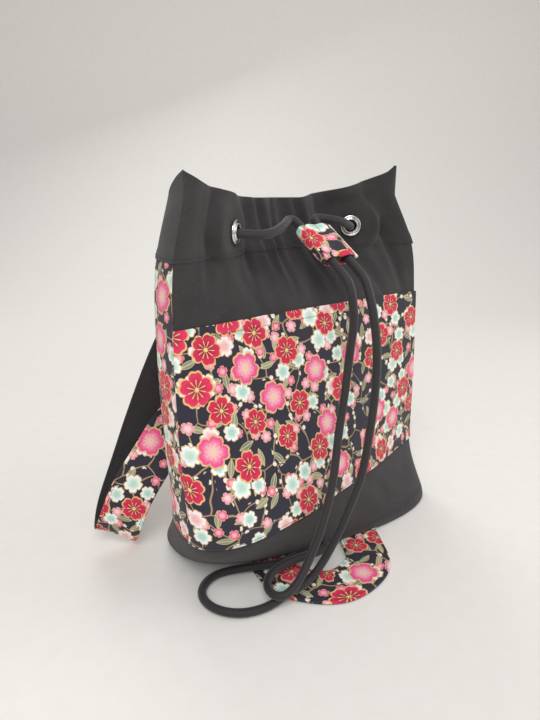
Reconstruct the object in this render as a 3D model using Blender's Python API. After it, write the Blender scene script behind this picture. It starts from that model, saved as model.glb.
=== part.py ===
"""Drawstring bucket backpack of black twill and blossom print, standing on its base.

Metres, +Z up, front towards -Y. The origin is on the table under the middle of the base.
"""

from collections import namedtuple
import functools
import math

import bmesh
import bpy
from mathutils import Matrix, Vector

MM = 0.001

# Cloth
CLOTH_THICK = 1.8 * MM
POCKET_THICK = 1.2 * MM
SEWN_GAP = 0.3 * MM
BASE_THICK = 6.5 * MM
BASE_EDGE_INSET = 7.0 * MM
BASE_LIP_Z = 1.2 * MM
BASE_LIP_INSET = 2.2 * MM
BASE_ROUND_Z = 5 * MM
BASE_INNER_Z = 8 * MM
BASE_INNER_INSET = 1.5 * MM

# Heights of the seams above the table
BASE_SEAM_Z = 14 * MM
PRINT_BOTTOM_Z = 70 * MM
BELLY_Z = 165 * MM
PRINT_TOP_Z = 260 * MM
HEM_Z = 313 * MM
RIM_Z = 362 * MM

# Rim height above or below RIM_Z
LEFT_EAR_RISE = 17 * MM
RIGHT_EAR_RISE = 27 * MM
FRONT_DIP = 3 * MM
BACK_DIP = 6 * MM
# How far each ear runs along the front or back, and how sharply it rises to its tip
FRONT_EAR_SPAN = 0.42
FRONT_EAR_CURVE = 1.3
BACK_EAR_SPAN = 0.2
BACK_EAR_CURVE = 1.5

# The body's cross-section at one height. A side seam stands at each end, the front
# bulges or is pinched between them, and the back is a rounded D.
Level = namedtuple("Level", "z left_x left_y right_x right_y bulge skew pinch back_depth")
LEVELS = (
    Level(0.0, -115 * MM, 56 * MM, 191 * MM, -20 * MM, 68 * MM, 0.0, 0.0, 70 * MM),
    Level(BASE_SEAM_Z, -127 * MM, 30 * MM, 190 * MM, -21 * MM, 60 * MM, 0.15, 0.0, 84 * MM),
    Level(PRINT_BOTTOM_Z, -147 * MM, -35 * MM, 182 * MM, -15 * MM, 32 * MM, 0.75, 0.0, 105 * MM),
    Level(BELLY_Z, -150 * MM, -33 * MM, 167 * MM, -23 * MM, 13 * MM, 0.5, 0.0, 108 * MM),
    Level(PRINT_TOP_Z, -150 * MM, -31 * MM, 150 * MM, -30 * MM, 0.0, 0.0, 3 * MM, 106 * MM),
    Level(HEM_Z, -149 * MM, -35 * MM, 134 * MM, -34 * MM, 0.0, 0.0, 40 * MM, 98 * MM),
    Level(RIM_Z, -137 * MM, -34 * MM, 105 * MM, -31 * MM, 0.0, 0.0, 44 * MM, 82 * MM),
)
FRONT_SQUARENESS = 2.2
BACK_SQUARENESS = 2.5
EVEN_SHARE = 0.4
PINCH_CENTRE = 0.12
PINCH_WIDTH = 0.72

# Gathers under the drawstring
GATHER_DEPTH = 5 * MM
GATHERS = 5
GATHER_PHASE = 0.8
GATHER_GROWTH = 1.5
BACK_GATHER_SHARE = 0.5
STEPS_FRONT = 28
STEPS_BACK = 28

# Eyelets, given by how far along the front or back they stand, from -1 to 1
EYELET_Z = 332 * MM
EYELET_OUTER = 21 * MM
EYELET_HOLE = 11 * MM
EYELET_RING = 2.2 * MM
FLANGE_EDGE = 0.8 * MM
BARREL_WALL = 0.8 * MM
BARREL_TAIL = 1.2 * MM
WASHER_THICK = 0.9 * MM
EYELET_CUT = 20 * MM
# The flange and the washer stand off the middle of the cloth by shares of its thickness,
# because the cloth is not quite flat under them
FLANGE_SEAT = 0.9
WASHER_SEAT = 1.9
FRONT_EYELETS = (-0.53, 0.60)
BACK_EYELETS = (-0.45, 0.45)
EYELET_FLAT = 20 * MM
EYELET_FADE = 14 * MM
EYELET_REACH = 0.03

# Cord and its slider
CORD_DIAMETER = 8 * MM
CORD_REST_GAP = 0.4 * MM
RIM_CORD_INSET = 14 * MM
RIM_CORD_OUT = 13 * MM
BACK_BIGHT_SLACK = 3 * MM
CORD_JOIN = 2 * CLOTH_THICK
CORD_OUT = 5 * MM
CORD_CLEAR = 8 * MM
CHANNEL_CLEARANCE = 0.6 * MM
SLIDER_WIDTH = 40 * MM
SLIDER_THICK = 13 * MM
SLIDER_LENGTH = 44 * MM
CHANNEL_SPACING = 21 * MM
SLIDER_TOP = Vector((2 * MM, -22 * MM, 332 * MM))
SLIDER_END = Vector((3 * MM, -58 * MM, 307 * MM))
SLIDER_ROUNDING = 3.9 * MM
SLIDE_TRAVEL = 12 * MM
ENTRY_LEAD = 5 * MM
CORD_LEAD = 5 * MM

# Straps
STRAP_WIDTH = 45 * MM
STRAP_THICK = 3 * MM
STRAP_REST_Z = 1.9 * MM
STRAP_LIFT = 4 * MM
STRAP_SEAT_GAP = 1.1 * MM
STRAP_RUNS = (
    (Vector((5 * MM, 100 * MM, 0)), Vector((-41 * MM, -8 * MM, 0))),
    (Vector((62 * MM, -34 * MM, 0)), Vector((106 * MM, 50 * MM, 0))),
)
CHANNEL_DEPTH = 4.0 * MM
CHANNEL_SIDE = 3 * MM
CHANNEL_OVERRUN = 0.45


def clear_scene():
    for item in list(bpy.data.objects):
        bpy.data.objects.remove(item, do_unlink=True)


def material(name, colour, roughness, metallic=0.0):
    made = bpy.data.materials.new(name)
    made.use_nodes = True
    shader = made.node_tree.nodes["Principled BSDF"]
    shader.inputs["Base Color"].default_value = (*colour, 1.0)
    shader.inputs["Roughness"].default_value = roughness
    shader.inputs["Metallic"].default_value = metallic
    return made


def add_object(name, mesh, finish, smooth=True):
    thing = bpy.data.objects.new(name, mesh)
    bpy.context.scene.collection.objects.link(thing)
    mesh.materials.append(finish)
    if smooth:
        mesh.shade_smooth()
        mesh.set_sharp_from_angle(angle=math.radians(40))
    return thing


def mesh_from(name, points, faces):
    mesh = bpy.data.meshes.new(name)
    mesh.from_pydata([tuple(point) for point in points], [], faces)
    shaped = bmesh.new()
    shaped.from_mesh(mesh)
    bmesh.ops.recalc_face_normals(shaped, faces=shaped.faces)
    if shaped.calc_volume(signed=True) < 0:
        bmesh.ops.reverse_faces(shaped, faces=shaped.faces)
    shaped.to_mesh(mesh)
    shaped.free()
    return mesh


def hermite(low, high, low_slope, high_slope, share, span):
    cube = share ** 3
    square = share ** 2
    return (
        (2 * cube - 3 * square + 1) * low
        + (cube - 2 * square + share) * span * low_slope
        + (3 * square - 2 * cube) * high
        + (cube - square) * span * high_slope
    )


def slope_at(index, field):
    before = LEVELS[max(index - 1, 0)]
    after = LEVELS[min(index + 1, len(LEVELS) - 1)]
    return (getattr(after, field) - getattr(before, field)) / (after.z - before.z)


def section_at(z):
    """The cross-section's values at a height, read smoothly between the levels."""
    index = 0
    while index < len(LEVELS) - 2 and z > LEVELS[index + 1].z:
        index += 1
    low, high = LEVELS[index], LEVELS[index + 1]
    span = high.z - low.z
    share = (z - low.z) / span
    values = [z]
    for field in Level._fields[1:]:
        if share > 1:
            values.append(getattr(high, field))
            continue
        values.append(
            hermite(getattr(low, field), getattr(high, field), slope_at(index, field),
                    slope_at(index + 1, field), share, span)
        )
    return Level(*values)


def gather_share(z):
    """How strongly the drawstring gathers the cloth at a height, from 0 to 1."""
    share = (z - PRINT_TOP_Z) / (EYELET_Z - PRINT_TOP_Z)
    return min(max(share, 0.0), 1.0) ** GATHER_GROWTH


def across_at(turn, on_front):
    """How far along the front or back a turn of 0 to 1 stands, from -1 to 1."""
    angle = math.pi * turn
    if on_front:
        return EVEN_SHARE * (2 * turn - 1) - (1 - EVEN_SHARE) * math.cos(angle)
    return math.copysign(abs(math.cos(angle)) ** (2 / BACK_SQUARENESS), math.cos(angle))


def turn_at(across, on_front):
    """The turn that stands at a place along the front or back."""
    low, high = 0.0, 1.0
    for _ in range(30):
        middle = (low + high) / 2
        if (across_at(middle, on_front) < across) == on_front:
            low = middle
        else:
            high = middle
    return (low + high) / 2


def free_wall_point(turn, z, on_front):
    """A point of the outer wall before the eyelets pull it flat. turn runs from 0 to 1."""
    level = section_at(z)
    across = across_at(turn, on_front)
    share = (across + 1) / 2
    x = level.left_x + (level.right_x - level.left_x) * share
    y = level.left_y + (level.right_y - level.left_y) * share
    between_seams = 1 - across ** 8
    fold = math.sin(math.pi * GATHERS * across + GATHER_PHASE)
    wave = GATHER_DEPTH * gather_share(z) * between_seams * fold
    if not on_front:
        wave *= BACK_GATHER_SHARE
    if on_front:
        height = max(1 - abs(across) ** FRONT_SQUARENESS, 0.0) ** (1 / FRONT_SQUARENESS)
        pulled = math.exp(-abs((across - PINCH_CENTRE) / PINCH_WIDTH) ** 3) * between_seams
        y += level.pinch * pulled + wave - level.bulge * height * (1 - level.skew * across)
    else:
        height = math.sin(math.pi * turn) ** (2 / BACK_SQUARENESS) if 0 < turn < 1 else 0.0
        y += level.back_depth * height + wave
    return Vector((x, y, z))


@functools.cache
def eyelet_frames(on_front):
    """Place and outward direction of each eyelet on the front or back."""
    frames = []
    for across in FRONT_EYELETS if on_front else BACK_EYELETS:
        turn = turn_at(across, on_front)
        here = free_wall_point(turn, EYELET_Z, on_front)
        before = free_wall_point(turn - EYELET_REACH, EYELET_Z, on_front)
        after = free_wall_point(turn + EYELET_REACH, EYELET_Z, on_front)
        along = after - before
        frames.append((here, Vector((along.y, -along.x, 0)).normalized()))
    return tuple(frames)


def wall_point(turn, z, on_front):
    """A point of the outer wall, which lies flat under each eyelet."""
    point = free_wall_point(turn, z, on_front)
    for place, outward in eyelet_frames(on_front):
        away = math.hypot((point - place).x, (point - place).z)
        share = (EYELET_FLAT + EYELET_FADE - away) / EYELET_FADE
        share = min(max(share, 0.0), 1.0)
        share = share * share * (3 - 2 * share)
        flat_y = place.y - (point.x - place.x) * outward.x / outward.y
        point.y += (flat_y - point.y) * share
    return point


def ring_points(z_at):
    """One closed turn round the wall: the front from left to right, then the back."""
    points = []
    for step in range(STEPS_FRONT):
        turn = step / STEPS_FRONT
        points.append(wall_point(turn, z_at(turn, True), True))
    for step in range(STEPS_BACK):
        turn = step / STEPS_BACK
        points.append(wall_point(turn, z_at(turn, False), False))
    return points


def offset_ring(points, distance):
    """The ring moved outwards in plan, square to the line through each point."""
    count = len(points)
    moved = []
    for index, point in enumerate(points):
        ahead = points[(index + 1) % count] - point
        behind = point - points[index - 1]
        ahead.z = 0
        behind.z = 0
        ahead.normalize()
        behind.normalize()
        side_ahead = Vector((ahead.y, -ahead.x, 0))
        side_behind = Vector((behind.y, -behind.x, 0))
        side = (side_ahead + side_behind).normalized()
        reach = distance / max(side.dot(side_ahead), 0.5)
        moved.append(point + side * reach)
    return moved


def level_ring(z):
    return ring_points(lambda turn, on_front: z)


def grid_faces(rows, columns, closed):
    """Triangles of a grid, all split the same way, so that parallel layers stay apart."""
    faces = []
    last = columns if closed else columns - 1
    for row in range(rows - 1):
        for column in range(last):
            after = (column + 1) % columns
            low, low_after = row * columns + column, row * columns + after
            high, high_after = low + columns, low_after + columns
            faces.append((low, low_after, high_after))
            faces.append((low, high_after, high))
    return faces


def band_solid(name, rings, outside, thickness, finish):
    """A closed band of cloth that runs all the way round, from rings listed upwards."""
    outer = [offset_ring(ring, outside) for ring in rings]
    inner = [offset_ring(ring, outside - thickness) for ring in rings]
    around = outer + inner[::-1] + [outer[0]]
    columns = len(rings[0])
    count = len(around) - 1
    points = [point for ring in around[:-1] for point in ring]
    faces = []
    for face in grid_faces(len(around), columns, True):
        faces.append(tuple(corner % (count * columns) for corner in face))
    return add_object(name, mesh_from(name, points, faces), finish)


def panel_solid(name, rings, first, last, outside, thickness, finish):
    """A panel of cloth between two places on the rings, shy of both by the sewn gap."""
    def stretch(ring):
        count = len(ring)
        part = [ring[index % count].copy() for index in range(first, last + 1)]
        start = (part[1] - part[0]).normalized()
        end = (part[-2] - part[-1]).normalized()
        part[0] += start * SEWN_GAP
        part[-1] += end * SEWN_GAP
        return part

    outer = [stretch(offset_ring(ring, outside)) for ring in rings]
    inner = [stretch(offset_ring(ring, outside - thickness)) for ring in rings]
    columns = last - first + 1
    rows = len(rings)
    points = [point for ring in outer + inner for point in ring]
    inside = rows * columns
    faces = grid_faces(rows, columns, False)
    faces += [tuple(corner + inside for corner in face[::-1]) for face in faces]
    for column in range(columns - 1):
        top = (rows - 1) * columns + column
        faces.append((column + 1, column, inside + column, inside + column + 1))
        faces.append((top, top + 1, inside + top + 1, inside + top))
    for row in range(rows - 1):
        left = row * columns
        right = left + columns - 1
        faces.append((left, left + columns, inside + left + columns, inside + left))
        faces.append((right + columns, right, inside + right, inside + right + columns))
    return add_object(name, mesh_from(name, points, faces), finish)


def heights(low, high, rows):
    return [low + (high - low) * row / (rows - 1) for row in range(rows)]


def rim_height(turn, on_front):
    """Height of the rim: an ear over each side seam, and a dip between them."""
    if on_front:
        left = max(0.0, 1 - turn / FRONT_EAR_SPAN) ** FRONT_EAR_CURVE
        right = max(0.0, 1 - (1 - turn) / FRONT_EAR_SPAN) ** FRONT_EAR_CURVE
        dip = FRONT_DIP
    else:
        right = max(0.0, 1 - turn / BACK_EAR_SPAN) ** BACK_EAR_CURVE
        left = max(0.0, 1 - (1 - turn) / BACK_EAR_SPAN) ** BACK_EAR_CURVE
        dip = BACK_DIP
    flat = 1 - max(left, right)
    return RIM_Z + LEFT_EAR_RISE * left + RIGHT_EAR_RISE * right - dip * flat


def base_panel(finish):
    """The padded base: flat underneath, turned up all round to its seam."""
    edge = [
        offset_ring(level_ring(0.0), -BASE_EDGE_INSET),
        offset_ring(level_ring(BASE_LIP_Z), -BASE_LIP_INSET),
        level_ring(BASE_ROUND_Z),
        level_ring(BASE_SEAM_Z - SEWN_GAP),
        offset_ring(level_ring(BASE_SEAM_Z - SEWN_GAP), -CLOTH_THICK),
        offset_ring(level_ring(BASE_INNER_Z), -CLOTH_THICK - BASE_INNER_INSET),
        offset_ring(level_ring(BASE_THICK), -BASE_EDGE_INSET),
    ]
    for ring, z in ((edge[1], BASE_LIP_Z), (edge[-1], BASE_THICK)):
        for point in ring:
            point.z = z
    columns = len(edge[0])
    points = [point for ring in edge for point in ring]
    faces = grid_faces(len(edge), columns, True)
    middle = sum(edge[0], Vector()) / columns
    under = len(points)
    points += [Vector((middle.x, middle.y, 0)), Vector((middle.x, middle.y, BASE_THICK))]
    top = (len(edge) - 1) * columns
    for column in range(columns):
        after = (column + 1) % columns
        faces.append((after, column, under))
        faces.append((top + column, top + after, under + 1))
    return add_object("base_panel", mesh_from("base_panel", points, faces), finish)


def box_cutter(name, start, end, width, height):
    """A box that runs on the table from start to end."""
    run = end - start
    made = bmesh.new()
    bmesh.ops.create_cube(made, size=1.0)
    size = Matrix.Diagonal((width, run.length, height, 1))
    bmesh.ops.transform(made, matrix=size, verts=made.verts)
    mesh = bpy.data.meshes.new(name)
    made.to_mesh(mesh)
    made.free()
    cutter = bpy.data.objects.new(name, mesh)
    bpy.context.scene.collection.objects.link(cutter)
    cutter.location = (start + end) / 2
    cutter.rotation_euler.z = math.atan2(run.y, run.x) - math.pi / 2
    cutter.hide_render = True
    cutter.display_type = "WIRE"
    return cutter


def subtract(thing, cutter):
    cut = thing.modifiers.new("cut", "BOOLEAN")
    cut.operation = "DIFFERENCE"
    cut.solver = "EXACT"
    cut.object = cutter


def turned_ring(name, profile, place, outward, finish, steps=20):
    """A ring turned about the eyelet's axis from (radius, outward distance) points."""
    facing = outward.to_track_quat("Z", "Y").to_matrix()
    points = []
    for step in range(steps):
        angle = 2 * math.pi * step / steps
        for radius, depth in profile:
            local = Vector((radius * math.cos(angle), radius * math.sin(angle), depth))
            points.append(place + facing @ local)
    columns = len(profile)
    faces = []
    for step in range(steps):
        after = (step + 1) % steps
        for column in range(columns):
            beside = (column + 1) % columns
            faces.append((
                step * columns + column,
                step * columns + beside,
                after * columns + beside,
                after * columns + column,
            ))
    return add_object(name, mesh_from(name, points, faces), finish)


def eyelet(index, place, outward, finish):
    """One eyelet: the flanged ring with its barrel, and the washer behind the cloth."""
    outer = EYELET_OUTER / 2
    hole = EYELET_HOLE / 2
    barrel = hole + BARREL_WALL
    front = CLOTH_THICK * FLANGE_SEAT + SEWN_GAP
    back = -CLOTH_THICK * WASHER_SEAT - SEWN_GAP
    tail = back - BARREL_TAIL
    ring = (
        (outer, front), (outer - FLANGE_EDGE, front + EYELET_RING * 0.7),
        ((outer + hole) / 2, front + EYELET_RING), (hole + FLANGE_EDGE, front + EYELET_RING * 0.6),
        (hole, front), (hole, tail), (barrel, tail), (barrel, front),
    )
    washer_hole = barrel + SEWN_GAP
    under = back - WASHER_THICK
    washer = ((outer, back), (washer_hole, back), (washer_hole, under), (outer, under))
    turned_ring(f"eyelet_{index}", ring, place, outward, finish)
    turned_ring(f"eyelet_washer_{index}", washer, place, outward, finish)


def round_cutter(name, place, outward, radius, length):
    made = bmesh.new()
    bmesh.ops.create_cone(made, segments=20, cap_ends=True, radius1=radius, radius2=radius, depth=length)
    mesh = bpy.data.meshes.new(name)
    made.to_mesh(mesh)
    made.free()
    cutter = bpy.data.objects.new(name, mesh)
    bpy.context.scene.collection.objects.link(cutter)
    cutter.location = place
    cutter.rotation_euler = outward.to_track_quat("Z", "Y").to_euler()
    cutter.hide_render = True
    cutter.display_type = "WIRE"
    return cutter


def smooth_path(route, count):
    """Evenly spaced points on a smooth curve through the route's points."""
    fine = []
    for index in range(len(route) - 1):
        before = route[max(index - 1, 0)]
        start, end = route[index], route[index + 1]
        after = route[min(index + 2, len(route) - 1)]
        for step in range(16):
            share = step / 16
            fine.append([
                0.5 * (2 * b + (c - a) * share + (2 * a - 5 * b + 4 * c - d) * share ** 2
                       + (3 * b - a - 3 * c + d) * share ** 3)
                for a, b, c, d in zip(before, start, end, after)
            ])
    fine.append(list(route[-1]))
    lengths = [0.0]
    for one, two in zip(fine, fine[1:]):
        lengths.append(lengths[-1] + (Vector(two[:3]) - Vector(one[:3])).length)
    path = []
    index = 0
    for step in range(count):
        wanted = lengths[-1] * step / (count - 1)
        while index < len(lengths) - 2 and lengths[index + 1] < wanted:
            index += 1
        share = (wanted - lengths[index]) / (lengths[index + 1] - lengths[index])
        path.append([p + (q - p) * share for p, q in zip(fine[index], fine[index + 1])])
    return path


def cord(name, points, finish):
    """A round cord along a route, as a bevelled curve with closed ends."""
    data = bpy.data.curves.new(name, "CURVE")
    data.dimensions = "3D"
    data.bevel_depth = CORD_DIAMETER / 2
    data.bevel_resolution = 2
    data.use_fill_caps = True
    line = data.splines.new("POLY")
    line.points.add(len(points) - 1)
    for spot, point in zip(line.points, points):
        spot.co = (*point[:3], 1)
    data.materials.append(finish)
    thing = bpy.data.objects.new(name, data)
    bpy.context.scene.collection.objects.link(thing)
    return thing


def ribbon(name, path, thickness, width, finish):
    """A flat strap along a path of points, each with the direction of the strap's width."""
    points = []
    count = len(path)
    for index, entry in enumerate(path):
        here = Vector(entry[:3])
        ahead = Vector(path[min(index + 1, count - 1)][:3])
        behind = Vector(path[max(index - 1, 0)][:3])
        along = (ahead - behind).normalized()
        across = Vector(entry[3:6])
        across = (across - along * across.dot(along)).normalized()
        facing = along.cross(across)
        for side, lift in ((-1, -1), (1, -1), (1, 1), (-1, 1)):
            points.append(here + (across * side * width + facing * lift * thickness) / 2)
    faces = [(3, 2, 1, 0)]
    for near in range(0, (count - 1) * 4, 4):
        far = near + 4
        # Both broad faces are split along the same diagonal, so that they stay apart where it twists
        faces += [(near, near + 1, far + 1), (near, far + 1, far)]
        faces += [(near + 2, near + 3, far + 2), (near + 3, far + 3, far + 2)]
        faces += [(near + 1, near + 2, far + 2, far + 1), (near + 3, near, far, far + 3)]
    end = (count - 1) * 4
    faces.append((end, end + 1, end + 2, end + 3))
    return add_object(name, mesh_from(name, points, faces), finish, smooth=False)


def millimetres(rows):
    """Route points given in millimetres, with any width direction left as it is."""
    return [tuple(value * MM for value in row[:3]) + tuple(row[3:]) for row in rows]


def strap_seat(x, z, lift=0.0):
    """Where a strap lies flat on the back of the bag, or lifts off it, and its width's direction."""
    level = section_at(z)
    half = (level.right_x - level.left_x) / 2
    middle = (level.right_x + level.left_x) / 2
    spots = []
    for step in (-1, -0.5, 0, 0.5, 1):
        across = (x + step * STRAP_WIDTH / 2 - middle) / half
        spots.append(wall_point(turn_at(across, False), z, False))
    along = (spots[0] - spots[-1]).normalized()
    outward = Vector((-along.y, along.x, 0))
    if outward.y < 0:
        outward.negate()
    reach = max((spot - spots[2]).dot(outward) for spot in spots)
    seat = spots[2] + outward * (reach + STRAP_THICK / 2 + STRAP_SEAT_GAP + lift)
    return (*seat, *along)


def left_strap_route():
    top = [strap_seat(-30 * MM, 306 * MM), strap_seat(-31 * MM, 284 * MM, STRAP_LIFT)]
    foot = [strap_seat(-66 * MM, 50 * MM, STRAP_LIFT), strap_seat(-66 * MM, 26 * MM)]
    return top + millimetres([
        (-60, 98, 240, -0.95, 0.2, 0.2),
        (-82, 113, 192, -0.86, 0.29, 0.41), (-107, 122, 135, -0.86, 0.29, 0.41),
        (-135, 121, 78, -0.86, 0.3, 0.41), (-160, 114, 36, -0.8, 0.4, 0.4),
        (-174, 98, 16, -0.72, 0.5, 0.45), (-174, 82, 36, -0.66, 0.54, 0.5),
        (-160, 73, 72, -0.65, 0.54, 0.52), (-130, 73, 106, -0.65, 0.54, 0.52),
        (-99, 82, 127, -0.65, 0.54, 0.52), (-76, 90, 135, -0.68, 0.56, 0.44),
        (-54, 100, 131, -0.75, 0.55, 0.3), (-40, 115, 116, -0.82, 0.48, 0.2),
        (-38, 120, 98, -0.85, 0.45, 0.15), (-45, 117, 81, -0.88, 0.42, 0.1), (-58, 108, 66, -0.9, 0.4, 0.0),
    ]) + foot


def under_base(run):
    """The strap's straight run through a channel under the base, its print side up."""
    one, two = run
    along = (two - one).normalized()
    rest = Vector((0, 0, STRAP_REST_Z))
    across = Vector((-along.y, along.x, 0))
    return [(*(one.lerp(two, share) + rest), *across) for share in (0.0, 0.5, 1.0)]


def right_strap_route():
    rest = STRAP_REST_Z / MM
    top = [strap_seat(24 * MM, 306 * MM), strap_seat(25 * MM, 284 * MM, STRAP_LIFT)]
    return top + millimetres([
        (30, 93, 250, -0.95, 0.2, 0), (36, 110, 205, -0.6, 0.8, 0),
        (40, 130, 140, 0.3, 0.95, 0), (38, 150, 70, 0.95, 0.2, 0), (30, 150, 22, 0.92, -0.3, 0),
        (20, 132, rest + 0.6, 0.92, -0.39, 0),
    ]) + under_base(STRAP_RUNS[0]) + millimetres([
        (-54, -40, rest, 0.94, -0.3, 0),
        (-52, -70, rest, 0.95, 0.25, 0), (-22, -98, rest, 0.4, 0.9, 0),
        (22, -94, rest, -0.35, 0.94, 0), (46, -64, rest, -0.84, 0.54, 0),
    ]) + under_base(STRAP_RUNS[1]) + millimetres([
        (116, 70, rest, -0.88, 0.47, 0),
    ])


def slider_directions():
    along = (SLIDER_END - SLIDER_TOP).normalized()
    across = Vector((1, 0, 0))
    across = (across - along * across.dot(along)).normalized()
    return along, across, along.cross(across)


def channel_ends(side):
    """Where one strand enters its channel, and where its straight run past the slider ends."""
    along, across = slider_directions()[:2]
    start = SLIDER_TOP + across * side * CHANNEL_SPACING / 2
    return start - along * ENTRY_LEAD, start + along * (SLIDER_LENGTH + SLIDE_TRAVEL + ENTRY_LEAD)


def cord_slider(finish):
    """The flat cloth sleeve that grips both strands, with a channel for each."""
    along, across, facing = slider_directions()
    middle = SLIDER_TOP + along * SLIDER_LENGTH / 2
    turn = Matrix((across, facing, along)).transposed().to_4x4()
    made = bmesh.new()
    bmesh.ops.create_cube(made, size=1.0)
    size = Matrix.Diagonal((SLIDER_WIDTH, SLIDER_THICK, SLIDER_LENGTH, 1))
    bmesh.ops.transform(made, matrix=size, verts=made.verts)
    mesh = bpy.data.meshes.new("cord_slider")
    made.to_mesh(mesh)
    made.free()
    sleeve = add_object("cord_slider", mesh, finish)
    sleeve.matrix_world = Matrix.Translation(middle) @ turn
    rounding = sleeve.modifiers.new("soft_edges", "BEVEL")
    rounding.width = SLIDER_ROUNDING
    rounding.segments = 2
    radius = CORD_DIAMETER / 2 + CHANNEL_CLEARANCE
    for side in (-1, 1):
        place = middle + across * side * CHANNEL_SPACING / 2
        subtract(sleeve, round_cutter(f"channel_{side}", place, along, radius, SLIDER_LENGTH * 1.5))
    return sleeve


def through_eyelet(frame, distance):
    """A point of the cord on its way through an eyelet, resting on the hole's lower edge."""
    drop = (EYELET_HOLE - CORD_DIAMETER) / 2 - CORD_REST_GAP
    return frame[0] + frame[1] * distance - Vector((0, 0, drop))


def free_cord_points(eyelets):
    """The cord outside the bag, from one front eyelet to the other."""
    along = slider_directions()[0]
    lead = along * CORD_LEAD
    left, right = eyelets[:2]
    left_in, left_end = channel_ends(-1)
    right_in, right_end = channel_ends(1)
    hanging = millimetres([
        (-5, -77, 280), (3, -74, 254), (6, -72, 224), (2, -72, 188), (-5, -73, 149), (-17, -79, 103),
        (-34, -84, 66), (-50, -86, 40), (-68, -90, 24), (-84, -90, 17), (-90, -81, 15.5), (-88, -70, 15.5),
        (-80, -61, 16), (-66, -55, 16.5), (-50, -54, 17), (-35, -57, 17), (-20, -58, 16.5), (-11, -56, 12.5),
        (-20, -52, 9), (-40, -48, 9), (-60, -41, 9), (-78, -30, 8.5), (-98, -17, 5), (-112, -15, 5),
        (-126, -20, 5), (-135, -31, 5), (-136, -47, 5), (-129, -62, 5), (-117, -73, 5), (-102, -79, 5),
        (-88, -82, 7), (-71, -82, 9), (-56, -82, 9.5), (-42, -82, 13), (-30, -83, 24), (-20, -86, 42),
        (-9, -89, 66), (9, -91, 106), (18, -91, 152), (22, -91, 190), (21, -91, 227), (17, -87, 258),
        (14, -80, 282),
    ])
    from_left = [through_eyelet(left, CORD_OUT), through_eyelet(left, CORD_CLEAR)]
    from_left += [Vector((-52 * MM, -33 * MM, 330 * MM)), left_in - lead, left_in]
    to_right = [right_in, right_in - lead, Vector((40 * MM, -24 * MM, 337 * MM))]
    to_right += [through_eyelet(right, CORD_CLEAR), through_eyelet(right, CORD_OUT)]
    down = [left_end, left_end + lead] + hanging + [right_end + lead, right_end]
    first = [through_eyelet(left, -CORD_JOIN)] + smooth_path(from_left, 8)
    last = smooth_path(to_right, 6) + [through_eyelet(right, -CORD_JOIN)]
    return first + smooth_path(down, 62) + last


def rim_cord_points(eyelets):
    """The cord inside the rim: round each side, and outside between the back eyelets."""
    front_left, front_right, back_left, back_right = eyelets
    wall = level_ring(EYELET_Z)
    inside = offset_ring(wall, -RIM_CORD_INSET)
    outside = offset_ring(wall, RIM_CORD_OUT + BACK_BIGHT_SLACK)
    count = len(wall)

    def nearest(place):
        return min(range(count), key=lambda index: (inside[index] - place[0]).length)

    def clear_of_wall(point):
        return min((point - other).length for other in wall) > 0.85 * RIM_CORD_INSET

    def between(ring, first, last):
        points = [ring[index % count] for index in range(first - 2, last + 1, -1)]
        return [point for point in points if clear_of_wall(point)]

    end = CORD_JOIN + SEWN_GAP
    half_in = RIM_CORD_INSET / 2
    from_front = [through_eyelet(front_left, -half_in), through_eyelet(front_left, -RIM_CORD_INSET)]
    left_side = between(inside, nearest(front_left) + count, nearest(back_left))
    middle = [outside[(nearest(back_left) + nearest(back_right)) // 2]]
    right_side = between(inside, nearest(back_right), nearest(front_right))
    to_front = [through_eyelet(front_right, -RIM_CORD_INSET), through_eyelet(front_right, -half_in)]
    out_back = [through_eyelet(back_left, RIM_CORD_OUT)]
    into_back = [through_eyelet(back_right, RIM_CORD_OUT)]
    first = smooth_path(from_front + left_side + [through_eyelet(back_left, -RIM_CORD_INSET)], 14)
    second = smooth_path(out_back + middle + into_back, 9)
    third = smooth_path([through_eyelet(back_right, -RIM_CORD_INSET)] + right_side + to_front, 14)
    ends = [through_eyelet(front_left, -end)], [through_eyelet(front_right, -end)]
    return ends[0] + first + second + third + ends[1]


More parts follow.
